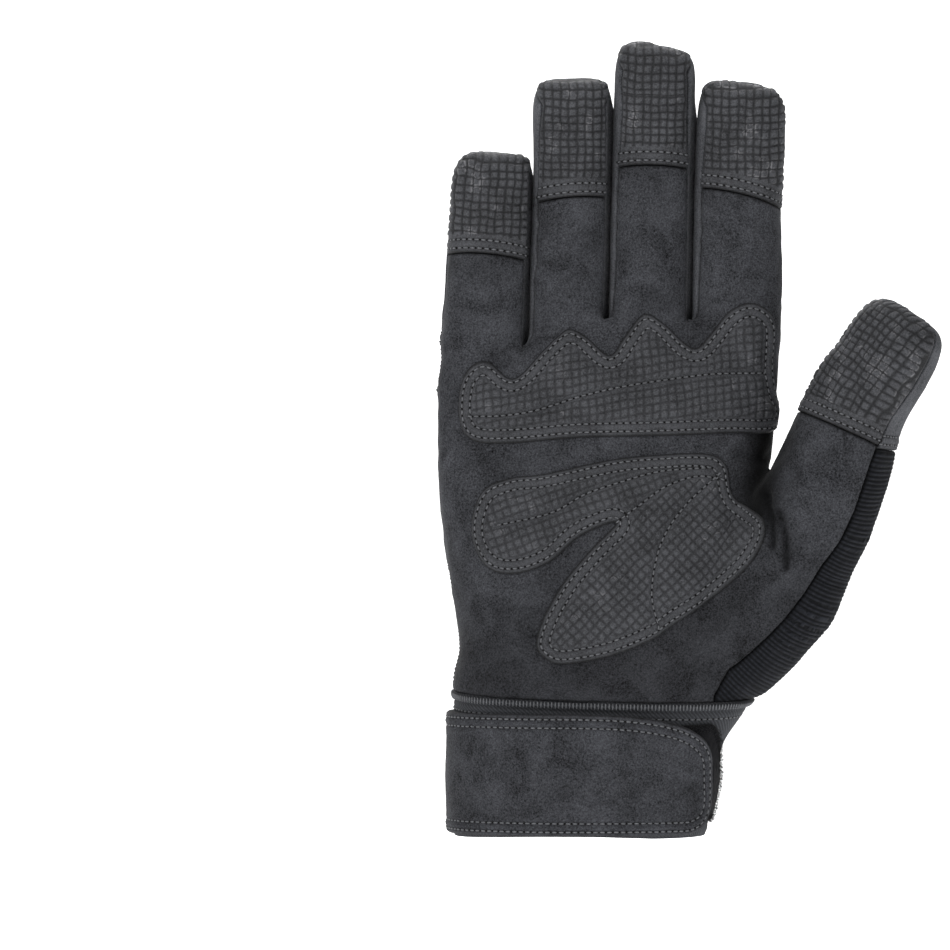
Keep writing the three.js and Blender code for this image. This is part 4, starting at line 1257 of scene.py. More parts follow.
@functools.lru_cache(maxsize=1)
def finishes():
    """The materials, by the slot that each one fills, and those of thread, the near-black dots of painted
    shade in the needle holes, and bristles.
    """
    colours = bpy.context.scene.glove_colours
    return {
        "palm_suede": suede("palm_suede", colours.palm),
        "back_suede": suede("back_suede", colours.back, contrast=0.75),
        "grip_suede": suede(
            "grip_suede", colours.grip, roughness=0.75, sheen=0.02, contrast=0.7, specular=0.2,
        ),
        "strap_suede": suede("strap_suede", colours.strap),
        "knit": woven("ribbed_knit", colours.knit, 1.3, 0.93, 0.0, 0.35, 0.00022),
        "elastic": woven("twill_elastic", colours.elastic, 0.95, 0.62, 0.75, 0.6, 0.00016),
        "hook_tape": suede("hook_tape", colours.hook, contrast=0.3, grain=0.0009),
        "thread": thread_material("sewing_thread", colours.thread),
        # Near-black dots put in the needle holes: painted shade.
        "needle_hole_shade": thread_material("needle_hole_shade", (0.002, 0.002, 0.002), 1.0),
        "bristle": thread_material("hook_bristle", colours.hook, 0.8),
    }


# Thread and bristles along lines

@functools.lru_cache(maxsize=1)
def thread_tree():
    """Sets one small rounded bar after another along lines, turned with the surface below."""
    tree = bpy.data.node_groups.new("thread_along_line", "GeometryNodeTree")
    for label, kind, default in (
        ("Lines", "NodeSocketGeometry", None), ("Pitch", "NodeSocketFloat", 0.0024),
        ("Length", "NodeSocketFloat", 0.0019), ("Width", "NodeSocketFloat", 0.0005),
        ("Height", "NodeSocketFloat", 0.0004), ("Shift", "NodeSocketFloat", 0.0),
        ("Lift", "NodeSocketFloat", 0.0), ("Scatter", "NodeSocketFloat", 0.0),
        ("Tilt", "NodeSocketFloat", 0.0), ("Material", "NodeSocketMaterial", None),
    ):
        socket = tree.interface.new_socket(name=label, in_out="INPUT", socket_type=kind)
        if default is not None:
            socket.default_value = default
    tree.interface.new_socket(name="Geometry", in_out="OUTPUT", socket_type="NodeSocketGeometry")
    given = node(tree, "NodeGroupInput").outputs

    def vector(operation, *values):
        made = node(tree, "ShaderNodeVectorMath", operation=operation)
        sockets = [made.inputs[0], made.inputs["Scale"] if operation == "SCALE" else made.inputs[1]]
        for socket, value in zip(sockets, values):
            tree.links.new(value, socket)
        return made.outputs[0]

    def chance(seed):
        made = node(tree, "FunctionNodeRandomValue", data_type="FLOAT_VECTOR")
        made.inputs["Min"].default_value = (-1, -1, -1)
        made.inputs["Max"].default_value = (1, 1, 1)
        made.inputs["Seed"].default_value = seed
        return made.outputs["Value"]

    curve = node(tree, "GeometryNodeMeshToCurve", {"Mesh": given["Lines"]}).outputs[0]
    stations = node(tree, "GeometryNodeResampleCurve", {
        "Curve": curve, "Length": given["Pitch"],
    }, mode="LENGTH").outputs[0]
    tangent = node(tree, "GeometryNodeInputTangent").outputs[0]
    facing = node(tree, "GeometryNodeInputNamedAttribute", {
        "Name": "facing",
    }, data_type="FLOAT_VECTOR").outputs[0]
    leaning = vector("ADD", facing, vector("SCALE", chance(4), given["Tilt"]))
    moved = vector("ADD", vector("SCALE", tangent, given["Shift"]), vector("SCALE", facing, given["Lift"]))
    moved = vector("ADD", moved, vector("SCALE", chance(9), given["Scatter"]))
    placed = node(tree, "GeometryNodeSetPosition", {"Geometry": stations, "Offset": moved}).outputs[0]
    turned = node(tree, "FunctionNodeAxesToRotation", {
        "Primary Axis": leaning, "Secondary Axis": tangent,
    }, primary_axis="Z", secondary_axis="X").outputs[0]
    size = node(tree, "ShaderNodeCombineXYZ", {
        "X": given["Length"], "Y": given["Width"], "Z": given["Height"],
    }).outputs[0]
    bar = node(tree, "GeometryNodeMeshUVSphere", {"Segments": 6, "Rings": 4, "Radius": 0.5}).outputs["Mesh"]
    smooth = node(tree, "GeometryNodeSetShadeSmooth", {"Geometry": bar}).outputs[0]
    laid = node(tree, "GeometryNodeInstanceOnPoints", {
        "Points": placed, "Instance": smooth, "Rotation": turned, "Scale": size,
    }).outputs[0]
    real = node(tree, "GeometryNodeRealizeInstances", {"Geometry": laid}).outputs[0]
    done = node(tree, "GeometryNodeSetMaterial", {"Geometry": real, "Material": given["Material"]}).outputs[0]
    tree.links.new(done, node(tree, "NodeGroupOutput").inputs[0])
    return tree


def evened(places, facing, step=0.5):
    """The same line with points at even steps, its jitter smoothed away."""
    run = run_along(places)
    if run[-1] < 4:
        return None
    at = np.linspace(0, run[-1], max(int(run[-1] / step), 4))
    both = np.column_stack([
        np.column_stack([np.interp(at, run, array[:, k]) for k in range(3)]) for array in (places, facing)
    ])
    for _ in range(4):
        both[1:-1] = (both[:-2] + 2 * both[1:-1] + both[2:]) / 4
    return both[:, :3], unit(both[:, 3:])


def run_of_thread(name, lines, slot, finish, **sizes):
    """Lays thread, dots of painted needle-hole shade or bristles along lines and makes them one plain mesh.
    """
    lines = [line for line in (evened(*line) for line in lines if len(line[0]) > 2) if line is not None]
    counts = [len(places) for places, _ in lines]
    starts = np.cumsum([0] + counts[:-1])
    edges = np.concatenate([
        np.stack([np.arange(n - 1), np.arange(1, n)], 1) + start for n, start in zip(counts, starts)
    ])
    mesh = bpy.data.meshes.new(name)
    mesh.from_pydata((np.concatenate([places for places, _ in lines]) * METRES).tolist(), edges.tolist(), [])
    facing = np.concatenate([normals for _, normals in lines])
    mesh.attributes.new("facing", "FLOAT_VECTOR", "POINT").data.foreach_set("vector", facing.ravel())
    thing = linked(name, mesh)
    modifier = thing.modifiers.new("thread", "NODES")
    modifier.node_group = thread_tree()
    sockets = thread_tree().interface.items_tree
    identifiers = {socket.name: socket.identifier for socket in sockets if socket.in_out == "INPUT"}
    for label, value in sizes.items():
        modifier[identifiers[label.capitalize()]] = float(value * METRES if label != "tilt" else value)
    modifier[identifiers["Material"]] = finishes()[finish]
    graph = bpy.context.evaluated_depsgraph_get()
    made = bpy.data.meshes.new_from_object(thing.evaluated_get(graph))
    thing.modifiers.remove(modifier)
    thing.data = made
    bpy.data.meshes.remove(mesh)
    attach(thing, "root")


def sewn(name, lines, slot):
    """Rows of stitches in thread, with a near-black dot between each two, painted shade for the needle hole.
    """
    pitch = detail("stitch_pitch")
    run_of_thread(f"{name}_thread", lines, slot, "thread",
                  pitch=pitch, length=0.78 * pitch, width=0.56, height=0.5, lift=0.06)
    run_of_thread(f"{name}_holes", lines, slot, "needle_hole_shade",
                  pitch=pitch, length=0.85, width=0.8, height=0.36, shift=0.5 * pitch, lift=0.0)


# Pieces

def build_grip(name, field, digit, above_of, share):
    """The grip piece on one fingertip, and the lines of its stitches. share sets how fine it is."""
    base = panel(field)
    pitch = detail("square_pitch")
    fine = finer(base, lambda s: np.full(len(s.points), share))
    above, edge = above_of(fine.points), fine.values["edge"]
    along, across, *_ = digit.place(fine.points).T
    wobble = 0.3 * ripple(fine.points, 7, 23)
    pattern = squares(across + pitch / 2 + wobble, along + wobble, pitch)
    field = smoothstep(above, 5.6, 6.0) * smoothstep(edge, 0.7, 1.1)
    height = 0.5 + rolled(edge) + 0.42 * pattern * field + row_dents(above, across)
    height += 0.14 * bell(above - 3.0, 0.9) + 0.05 * ripple(fine.points, 2.2, 21)
    # Painted shade: the grooves between the squares, the turned-in edge and the stitch rows are darker.
    tone = mix(1.0, mix(0.3, 1.15, pattern), field) * mix(0.2, 1.0, smoothstep(edge, 0.1, 0.9))
    tone *= 1 - 0.35 * stitch_row_shade(above, 0.55)
    rub = smoothstep(ripple(fine.points, 9, 31) + 0.5 * ripple(fine.points, 3, 37), 0.3, 1.1)
    worn = 0.85 * rub * field * bell(pattern - 0.5, 0.22)
    made = walled(base, fine, height, tone, worn)
    made.piece(name, "grip_suede")
    return made.row_lines(above, edge > 0.5)


def build_cap(name, field, above_of):
    """A suede cap over the back of a fingertip, and the lines of its stitches."""
    base = panel(field)

    def goal(s):
        inside = mix(0.45, 0.9, smoothstep(s.values["edge"], 1, 3))
        return np.where(above_of(s.points) < 6.5, 0.42, inside)
    fine = finer(base, goal)
    above, edge = above_of(fine.points), fine.values["edge"]
    height = 0.35 + rolled(edge) + row_dents(above, fine.points[:, 0])
    height += 0.12 * bell(above - 3.0, 0.9) + 0.08 * ripple(fine.points, 6, 41)
    # Painted shade along the turned-in edge and the stitch rows.
    tone = mix(0.35, 1.0, smoothstep(edge, 0.0, 0.8))
    tone *= 1 - 0.3 * stitch_row_shade(above, 0.55)
    made = walled(base, fine, height, tone, 0.10 * bell(edge - 0.9, 0.4))
    made.piece(name, "back_suede")
    return made.row_lines(above, edge > 0.5)


def build_cheek(k):
    """The suede between two fingers, with its tongue over the crotch."""
    base = panel(f"cheek{k}")
    fine = finer(base, lambda s: mix(0.42, 0.9, smoothstep(s.values["edge"], 1, 2.5)))
    edge = fine.values["edge"]
    on_tongue = smoothstep(fine.points[:, 1], 3, 8) * (fine.points[:, 2] < FINGER_ROOT + TONGUE_TOP)
    height = rolled(edge) + on_tongue * (0.35 + 0.3 * bell(edge - 0.9, 0.5))
    # Painted shade along the turned-in edge.
    tone = mix(0.3, 1.0, smoothstep(edge, 0.0, 0.8))
    made = walled(base, fine, height, tone, 0.2 * on_tongue * bell(edge - 0.9, 0.45))
    made.piece(f"cheek_{FINGERS[k].name}_{FINGERS[k + 1].name}", "back_suede")


def knit_rows(points):
    """Where points lie along and across the ribs of the knitted back."""
    x, y, z = points.T
    rows = z - 0.045 * (x - PALM_MIDDLE)
    for k in range(3):
        middle = tongue_outline(k)[:, 0].mean()
        bottom = tongue_outline(k)[:, 1].min()
        rows = rows + 3.2 * bell(x - middle, 8.5) * smoothstep(z, bottom - 34, bottom + 2)
    return np.column_stack([x + 0.35 * y * np.sign(x - PALM_MIDDLE), rows + 0.5 * ripple(points, 40, 51)])


def thumb_knit_rows(points):
    """The same for the knit round the thumb."""
    along, across, *_ = THUMB.place(points).T
    return np.column_stack([across, along + 0.12 * across + 0.4 * ripple(points, 30, 53)])


def build_knit(name, field, rows_of):
    """A knitted panel. Its mesh is fine enough across the ribs to carry them."""
    base = panel(field)
    pitch = detail("rib_pitch")

    def wanted(s, a, b):
        rows = rows_of(s.points)[:, 1]
        return np.abs(rows[a] - rows[b]) > 0.42 * FINE
    fine = base.refined(wanted, 2, keep_rim=True)
    fine = fine.smoothed(1, weight=(fine.values["edge"] > 0.02).astype(float))
    cloth = rows_of(fine.points)
    edge = fine.values["edge"]
    rib = np.cos(2 * math.pi * cloth[:, 1] / pitch)
    height = rolled(edge) + 0.19 * rib * smoothstep(edge, 0.1, 0.8)
    # Painted shade: darker along the turned-in edge and in the valleys between the ribs.
    tone = mix(0.4, 1.0, smoothstep(edge, 0.0, 1.2)) * mix(0.75, 1.15, 0.5 + 0.5 * rib)
    made = walled(base, fine, height, tone, cloth=np.column_stack([cloth * 1.3 / pitch, edge]))
    made.piece(name, "knit")


def build_palm():
    """The suede palm, and the lines of its stitches along the knitted back."""
    base = panel("palm")
    fine = finer(base, lambda s: mix(0.5, 1.2, smoothstep(s.values["edge"], 1.2, 3.5)), 2)
    points, edge = fine.points, fine.values["edge"]
    normals = fine.normals()
    height = rolled(edge) + 0.07 * ripple(points, 3.5, 61)
    on_back = smoothstep(points[:, 1], -1, 2) * (points[:, 2] > 62)
    height += on_back * (0.2 - 0.3 * bell(edge - 2.0, 0.5))
    # Painted shade along the turned-in edge and in the groove of the stitch line on the back.
    tone = mix(0.3, 1.0, smoothstep(edge, 0.0, 0.8)) * (1 - 0.3 * on_back * bell(edge - 2.0, 0.5))
    tone *= 1 + 0.10 * ripple(points, 30, 63) * smoothstep(-normals[:, 1], 0, 0.5)
    # Painted shade along the folds beside the thumb.
    for line in WEB_FOLDS:
        tone *= 1 - 0.8 * bell(from_line(points[:, [0, 2]], curved(line)), 1.0)
    # Painted shadow: the hollow beside the thumb's web is drawn near black, as shade falls there.
    tone *= 1 - 0.95 * bell(from_line(points[:, [0, 2]], curved(PALM_HOLLOW_SHADOW)), 7.0)
    # Painted shade: the palm darker towards the wrist, as the light from above falls off there.
    tone *= mix(0.68, 1.0, smoothstep(points[:, 2], 48, 105))
    made = walled(base, fine, height, tone, 0.08 * on_back * bell(edge - 0.9, 0.4))
    made.piece("palm_panel", "palm_suede")
    return made.outer.contours(edge, 2.0, (on_back > 0.5) & (edge > 0.5))


def build_pad(name, outline, quilts, grid_of):
    """A quilted pad on the palm: foam under suede, sewn down round its edge and along its quilt lines."""
    whole = hand()
    facing = -whole.normals()[:, 1]
    flat = whole.points[:, [0, 2]]
    shape = curved(on_palm(outline), 5, closed=True)
    depth = np.minimum(within(flat, shape), 12 * (facing - 0.05))
    depth = np.where(whole.points[:, 1] < 0, depth, OUTSIDE)
    near = Skin(whole.points, whole.faces, {"depth": depth}).refined(near_edge("depth", 1.2), rounds=1)
    depth = np.minimum(within(near.points[:, [0, 2]], shape), near.values["depth"] + 1.5)
    depth = np.where(near.points[:, 1] < 0, depth, OUTSIDE)
    base = near.cut(depth).without_crumbs()
    base.points = base.points + base.normals() * 0.3
    base.values["edge"] = edge_depth(base)
    fine = finer(base, lambda s: np.full(len(s.points), 0.33))
    edge = fine.values["edge"]
    flat = fine.points[:, [0, 2]]
    quilt = np.min([from_line(flat, curved(line)) for line in quilts], axis=0)
    across, along = grid_of(fine.points)
    wobble = 0.3 * ripple(fine.points, 9, 75)
    pattern = squares(across + wobble, along - wobble, detail("square_pitch"))
    field = smoothstep(edge, 4.7, 5.3) * smoothstep(quilt, 0.9, 1.3)
    puff = smoothstep(edge, 0.0, 1.0) + 0.9 * smoothstep(edge, 4.2, 9.0) * (1 - bell(quilt, 3.2))
    height = puff + row_dents(edge, fine.points[:, 0] + fine.points[:, 2], 0.35)
    height += 0.22 * bell(edge - 3.0, 0.8) - 0.45 * bell(quilt, 0.7) + 0.4 * pattern * field
    height += 0.06 * ripple(fine.points, 4, 71)
    # Painted shade in the grooves between the squares, along the turned-in edge, along the stitch rows and in
    # the quilt lines.
    tone = mix(1.0, mix(0.5, 1.15, pattern), field) * mix(0.15, 1.0, smoothstep(edge, 0.1, 0.9))
    tone *= 1 - 0.35 * (stitch_row_shade(edge, 0.5) + bell(quilt, 0.6))
    rub = smoothstep(ripple(fine.points, 11, 73) + 0.6 * ripple(fine.points, 3, 77), 0.6, 1.5)
    worn = 0.8 * rub * field * bell(pattern - 0.5, 0.22)
    made = walled(base, fine, height, tone, worn, thickness=0.1)
    thing = made.piece(name, "grip_suede")
    return made.row_lines(edge) + [made.outer.drawn_on(curved(line, 14)) for line in quilts]


def knuckle_grid(points):
    """Where points lie across and along the knuckle pad's squares, whose rows lean a little."""
    x, z = points[:, 0], points[:, 2]
    return x + 0.03 * (z - 140), z - 0.16 * x


def heel_grid(points):
    """Squares along the upper lobe, and diamonds along the leaf below it."""
    x, z = points[:, 0], points[:, 2]
    seam = curved([(-40, 72.0), (-10, 88.0)] + LOBE_SEAM + [(60, 106.0)])
    upper = z > np.interp(x, seam[:, 0], seam[:, 1])
    turn = np.where(upper, math.radians(20), math.radians(44))
    return x * np.cos(turn) + z * np.sin(turn), z * np.cos(turn) - x * np.sin(turn)


# Cuff and strap

CUFF_ROWS = np.array([
    # up, flare, depth
    (0.00, 0.00, 1.00), (0.30, 0.20, 1.00), (0.62, 0.38, 1.01), (0.85, 0.82, 1.02), (1.12, 1.42, 1.03),
])


def cuff_point(angle, z, offset=0.0):
    """A place on the cuff's face at an angle and height, offset outwards."""
    angle, z, offset = np.broadcast_arrays(angle, z, offset)
    sizes = monotone(CUFF_ROWS[:, 0], CUFF_ROWS[:, 1:], (z / CUFF_HEIGHT).ravel())
    flare = sizes[:, 0].reshape(z.shape) * CUFF_FLARE
    across, through = rounded(angle, PALM_SQUARENESS)
    x = flare / 2 + across * ((CUFF_WIDTH + flare) / 2 + offset)
    y = through * (sizes[:, 1].reshape(z.shape) * CUFF_DEPTH / 2 + offset)
    return np.stack([x, y, z], -1)


def angle_at(x, z, offset):
    """The angle on the palm side where the face at this offset reaches x."""
    flares = monotone(CUFF_ROWS[:, 0], CUFF_ROWS[:, 1:2], np.ravel(z) / CUFF_HEIGHT)
    flare = flares.reshape(np.shape(z)) * CUFF_FLARE
    share = np.clip((x - flare / 2) / ((CUFF_WIDTH + flare) / 2 + offset), 0, 0.995)
    return -np.arccos(share ** (PALM_SQUARENESS / 2))


def build_cuff():
    """The elastic cuff, and the lines of the thread round its top."""
    around, outer_rows = CUFF_SIDES, CUFF_OUTER_ROWS
    even = np.linspace(0, 2 * math.pi, 4000)
    ring = cuff_point(even, np.full(4000, 20.0))
    run = run_along(ring)
    steps = np.linspace(0, run[-1], around, endpoint=False)
    angles = np.interp(steps, run, even)
    top = cuff_point(angles, np.full(around, CUFF_HEIGHT))
    top_height = top[:, 2] - cuff_edge(top)
    hem = 0.9 * np.clip(1 - (top[:, 0] / 39) ** 2, 0, 1)
    profile = [(share, 0.0) for share in np.linspace(0.006, 0.994, outer_rows)]
    turns = np.linspace(0.4, math.pi - 0.4, CUFF_TURN_ROWS)
    profile += [(1 + 0.012 * math.sin(t), 0.9 * (math.cos(t) - 1)) for t in turns]
    profile += [(share, -1.8) for share in np.linspace(0.994, 0.006, CUFF_INNER_ROWS)]
    profile += [(-0.004 * math.sin(t), -0.9 * (1 + math.cos(t))) for t in turns]
    share, offset = np.array(profile).T
    z = np.clip(hem + (top_height - hem) * share[:, None], 0.02, None)
    outside = (np.arange(len(profile)) < outer_rows)[:, None]
    below_top = top_height - z
    wave = 0.3 * np.sin(steps / 7.0 + 0.06 * z) + 0.25 * np.sin(steps / 3.1 + 0.1 * z)
    bulge = 0.55 * bell(below_top - 1.0, 0.9) - 0.45 * bell(below_top - 2.5, 0.6)
    bulge = bulge - 0.2 * bell(below_top - 4.6, 0.5)
    bulge = bulge + 0.35 * bell(z - hem - 2.2, 1.4) - 0.25 * bell(z - hem - 4.6, 0.6)
    height = outside * (bulge + wave * 0.5) + (~outside) * wave * 0.5
    points = cuff_point(angles[None, :], z, offset[:, None] + height)
    j, i = (part.ravel() for part in np.mgrid[:len(profile), :around])
    above, beside = (j + 1) % len(profile), (i + 1) % around
    low, side = j * around + i, j * around + beside
    high, high_side = above * around + i, above * around + beside
    faces = np.concatenate([np.stack([low, side, high_side], 1), np.stack([low, high_side, high], 1)])
    skin = Skin(points.reshape(-1, 3), faces)
    shade = mix(0.55, 1.0, smoothstep(below_top, 0.2, 1.2)) * (1 - 0.25 * bell(below_top - 2.5, 0.6))
    tone = np.where(outside, shade, 0.6).ravel()
    cloth = np.stack([np.broadcast_to(steps, z.shape), z, z * 0], -1).reshape(-1, 3)
    Finished(skin, skin.points, faces, tone, np.zeros(tone.size), cloth).piece("cuff_elastic", "elastic")
    normals = skin.normals().reshape(len(profile), around, 3)
    grid = skin.points.reshape(len(profile), around, 3)
    lines = []
    for wanted_below in (1.0, 4.6):
        row = np.argmin(np.abs(below_top[:outer_rows].mean(1) - wanted_below))
        lines.append((np.vstack([grid[row], grid[row, :1]]), np.vstack([normals[row], normals[row, :1]])))
    return lines


def band_skin(low, high, end_x, start, end_radii, offset, columns, rows):
    """A band on the palm side of the cuff with a rounded free end.

    start(z) is its first angle, offset(along) its distance from the cuff, and end_radii holds the reach
    and the drop of its lower and upper corners.
    """
    middle, half = (low + high) / 2, (high - low) / 2
    along = 1 - (1 - np.linspace(0, 1, columns)) ** 1.6
    length = end_x + CUFF_WIDTH / 2
    up = np.linspace(-1, 1, rows)
    from_end = (1 - along) * length
    reach, drop = np.array(end_radii).T
    corner = []
    for r, d in zip(reach, drop):
        to_end = np.minimum(from_end, r) / r
        corner.append(half - d + d * np.sqrt(1 - (1 - to_end) ** 2))
    lower, upper = corner
    z = middle + np.where(up[None, :] < 0, up[None, :] * lower[:, None], up[None, :] * upper[:, None])
    away = offset(along)[:, None] + z * 0
    points = cuff_point(mix(start(z), angle_at(end_x, z, away), along[:, None]), z, away)
    i, j = (part.ravel() for part in np.mgrid[:columns - 1, :rows - 1])
    a, b = i * rows + j, (i + 1) * rows + j
    faces = np.concatenate([np.stack([a, b, b + 1], 1), np.stack([a, b + 1, a + 1], 1)])
    return Skin(points.reshape(-1, 3), faces)


def build_strap():
    """The strap with its rounded free end, and the lines of its stitches."""
    stack = PATCH_THICKNESS + 0.6
    start = -math.pi - STRAP_WRAP
    skin = band_skin(
        STRAP_ABOVE_HEM, STRAP_ABOVE_HEM + STRAP_HEIGHT, STRAP_END, lambda z: np.full(z.shape, start),
        [(12, 12), (26, 15)], lambda along: 0.3 + STRAP_THICKNESS + stack * smoothstep(along, 0.4, 0.6),
        *STRAP_GRID,
    )
    edge = edge_depth(skin)
    run = skin.points[:, 0] + skin.points[:, 2]
    height = rolled(edge, 1.3, 0.9) + row_dents(edge, run, 0.34) + 0.2 * bell(edge - 3.0, 0.8)
    height += 0.25 * ripple(skin.points, 17, 81) * smoothstep(edge, 3, 8) + 0.05 * ripple(skin.points, 3, 83)
    # Painted shade along the turned-in edge and the stitch rows.
    tone = mix(0.35, 1.0, smoothstep(edge, 0.0, 0.9))
    tone *= 1 - 0.3 * stitch_row_shade(edge, 0.5)
    made = walled(skin, skin, height, tone, 0.12 * bell(edge - 0.8, 0.3), thickness=STRAP_THICKNESS)
    made.piece("wrist_strap", "strap_suede")
    return made.row_lines(edge, skin.points[:, 1] < 8)


def build_patch():
    """The hook tape below the strap's free end, with the bristles that stand out past it."""
    middle = STRAP_ABOVE_HEM + STRAP_HEIGHT / 2
    skin = band_skin(
        middle - PATCH_HEIGHT / 2, middle + PATCH_HEIGHT / 2, STRAP_END + 2.6,
        lambda z: angle_at(STRAP_END - PATCH_LENGTH, z, 0.0), [(5, 5), (12, 9)],
        lambda along: 0.3 + PATCH_THICKNESS + 0 * along, *PATCH_GRID,
    )
    edge = edge_depth(skin)
    height = rolled(edge, 0.8, 0.4) + 0.12 * ripple(skin.points, 1.6, 91)
    # Painted shade along the rolled edge.
    tone = mix(0.6, 1.0, smoothstep(edge, 0, 1))
    made = walled(skin, skin, height, tone, thickness=PATCH_THICKNESS)
    made.piece("strap_hook_patch", "hook_tape")
    kept = skin.points[:, 0] > STRAP_END - 8
    return [line for row in (0.15, 0.5, 0.9, 1.4, 1.9) for line in made.outer.contours(edge, row, kept)]


# What a user would change

class GloveSizes(bpy.types.PropertyGroup):
    """Sizes of the glove's fine detail."""

    rib_pitch: bpy.props.FloatProperty(
        name="Rib pitch", description="From one rib of the knit to the next", default=0.0013, unit="LENGTH")
    square_pitch: bpy.props.FloatProperty(
        name="Square pitch", description="From one raised square to the next", default=0.00245, unit="LENGTH")
    stitch_pitch: bpy.props.FloatProperty(
        name="Stitch pitch", description="From one stitch to the next", default=0.0021, unit="LENGTH")
    overlock_pitch: bpy.props.FloatProperty(
        name="Overlock pitch", description="From one loop of the cuff's edging to the next",
        default=0.0011, unit="LENGTH")


def colour_property(name, description, default):
    return bpy.props.FloatVectorProperty(
        name=name, description=description, default=default, size=3, min=0, max=1, subtype="COLOR")


class GloveColours(bpy.types.PropertyGroup):
    """Colours of the glove's materials."""

    palm: colour_property("Palm suede", "Colour of the palm", (0.031, 0.032, 0.036))
    back: colour_property("Back suede", "Colour of the caps and cheeks", (0.060, 0.062, 0.068))
    grip: colour_property("Grip suede", "Colour of the grip pieces and pads", (0.038, 0.039, 0.043))
    strap: colour_property("Strap suede", "Colour of the strap", (0.031, 0.032, 0.036))
    knit: colour_property("Knit", "Colour of the ribbed knit", (0.010, 0.011, 0.014))
    elastic: colour_property("Elastic", "Colour of the cuff", (0.045, 0.047, 0.052))
    hook: colour_property("Hook tape", "Colour of the hook tape", (0.006, 0.006, 0.007))
    thread: colour_property("Thread", "Colour of the stitches", (0.098, 0.101, 0.108))


class GLOVE_OT_grip_tips(bpy.types.Operator):
    """Makes the grip pieces on the fingertips and the thumb."""

    bl_idname = "glove.grip_tips"
    bl_label = "Grip Tips"

    def execute(self, context):
        lines = []
        for k, finger in enumerate(FINGERS):
            above = functools.partial(above_finger_edge, k, edge=finger.grip)
            lines += build_grip(f"{finger.name}_grip_tip", f"grip{k}", DIGITS[k], above, 0.3)
        above = functools.partial(above_thumb_edge, edge=THUMB_GRIP_EDGE)
        lines += build_grip("thumb_grip_tip", "thumb_grip", THUMB, above, 0.32)
        sewn("grip_stitches", lines, "grip_suede")
        return {"FINISHED"}


class GLOVE_OT_back_caps(bpy.types.Operator):
    """Makes the suede caps over the backs of the fingertips and the thumb."""

    bl_idname = "glove.back_caps"
    bl_label = "Back Caps"

    def execute(self, context):
        lines = []
        for k, finger in enumerate(FINGERS):
            above = functools.partial(above_finger_edge, k, edge=finger.cap)
            lines += build_cap(f"{finger.name}_back_cap", f"cap{k}", above)
        above = functools.partial(above_thumb_edge, edge=THUMB_CAP_EDGE)
        lines += build_cap("thumb_back_cap", "thumb_cap", above)
        sewn("cap_stitches", lines, "back_suede")
        return {"FINISHED"}


class GLOVE_OT_cheeks(bpy.types.Operator):
    """Makes the three pieces between the fingers."""

    bl_idname = "glove.cheeks"
    bl_label = "Cheeks"

    def execute(self, context):
        for k in range(3):
            build_cheek(k)
        return {"FINISHED"}


class GLOVE_OT_knit(bpy.types.Operator):
    """Makes the knitted back and the knit round the thumb."""

    bl_idname = "glove.knit"
    bl_label = "Ribbed Knit"

    def execute(self, context):
        build_knit("back_panel", "back", knit_rows)
        build_knit("thumb_back_knit", "thumb_knit", thumb_knit_rows)
        return {"FINISHED"}


class GLOVE_OT_palm(bpy.types.Operator):
    """Makes the suede palm."""

    bl_idname = "glove.palm"
    bl_label = "Palm"

    def execute(self, context):
        sewn("palm_stitches", build_palm(), "palm_suede")
        return {"FINISHED"}


class GLOVE_OT_pads(bpy.types.Operator):
    """Makes the two quilted pads on the palm."""

    bl_idname = "glove.pads"
    bl_label = "Palm Pads"

    def execute(self, context):
        for name, outline, quilts, grid in (
            ("knuckle_pad", KNUCKLE_PAD, [KNUCKLE_QUILT], knuckle_grid),
            ("heel_pad", HEEL_PAD, [UPPER_QUILT, LEAF_QUILT, LOBE_SEAM], heel_grid),
        ):
            sewn(f"{name}_stitches", build_pad(name, outline, quilts, grid), "grip_suede")
        return {"FINISHED"}


class GLOVE_OT_cuff(bpy.types.Operator):
    """Makes the elastic cuff and the overlock thread round its top."""

    bl_idname = "glove.cuff"
    bl_label = "Elastic Cuff"

    def execute(self, context):
        overlock, seam = build_cuff()
        run_of_thread("cuff_overlock", [overlock], "elastic", "thread",
                      pitch=detail("overlock_pitch"), length=0.5, width=2.2, height=0.5, lift=0.1)
        sewn("cuff_stitches", [seam], "elastic")
        return {"FINISHED"}


class GLOVE_OT_strap(bpy.types.Operator):
    """Makes the wrist strap and the hook tape below its free end."""

    bl_idname = "glove.strap"
    bl_label = "Wrist Strap"

    def execute(self, context):
        sewn("strap_stitches", build_strap(), "strap_suede")
        run_of_thread("hook_bristles", build_patch(), "hook_tape", "bristle",
                      pitch=0.5, length=0.12, width=0.12, height=1.7, lift=0.4, scatter=0.3, tilt=0.9)
        return {"FINISHED"}


class GLOVE_OT_stage(bpy.types.Operator):
    """Makes the pale floor and backdrop, the soft lights and the camera."""

    bl_idname = "glove.stage"
    bl_label = "Stage"

    def execute(self, context):
        build_stage(context.scene)
        return {"FINISHED"}


PHOTO_PIXEL = 0.309             # millimetres that one of the photo's pixels covers
PHOTO_CENTRE = (-32.4, 111.9)   # what lies at the middle of the frame, across and up
PHOTO_SIZE = 950
CAMERA_DISTANCE = 1700.0
FRONT = -14.0                   # the depth at which the photo's scale was read
SENSOR = 36
FLOOR = -75.0                   # the floor's height in millimetres, as all lengths of the stage are
FLOOR_SIDE, FLOOR_NEAR, FLOOR_FAR, BEND, BACKDROP_TOP = 2600, -2600, 2000, 500, 3000
LIGHT_AIM = (0.01, 0, 0.11)
LIGHTS = (
    # name, place, size, power
    ("key_light", (-380, -620, 780), 380, 6.6),
    ("fill_light", (900, -900, 500), 700, 2.5),
    ("top_light", (100, 100, 900), 600, 4),
    ("rear_light", (-200, 1000, 700), 800, 12),
)


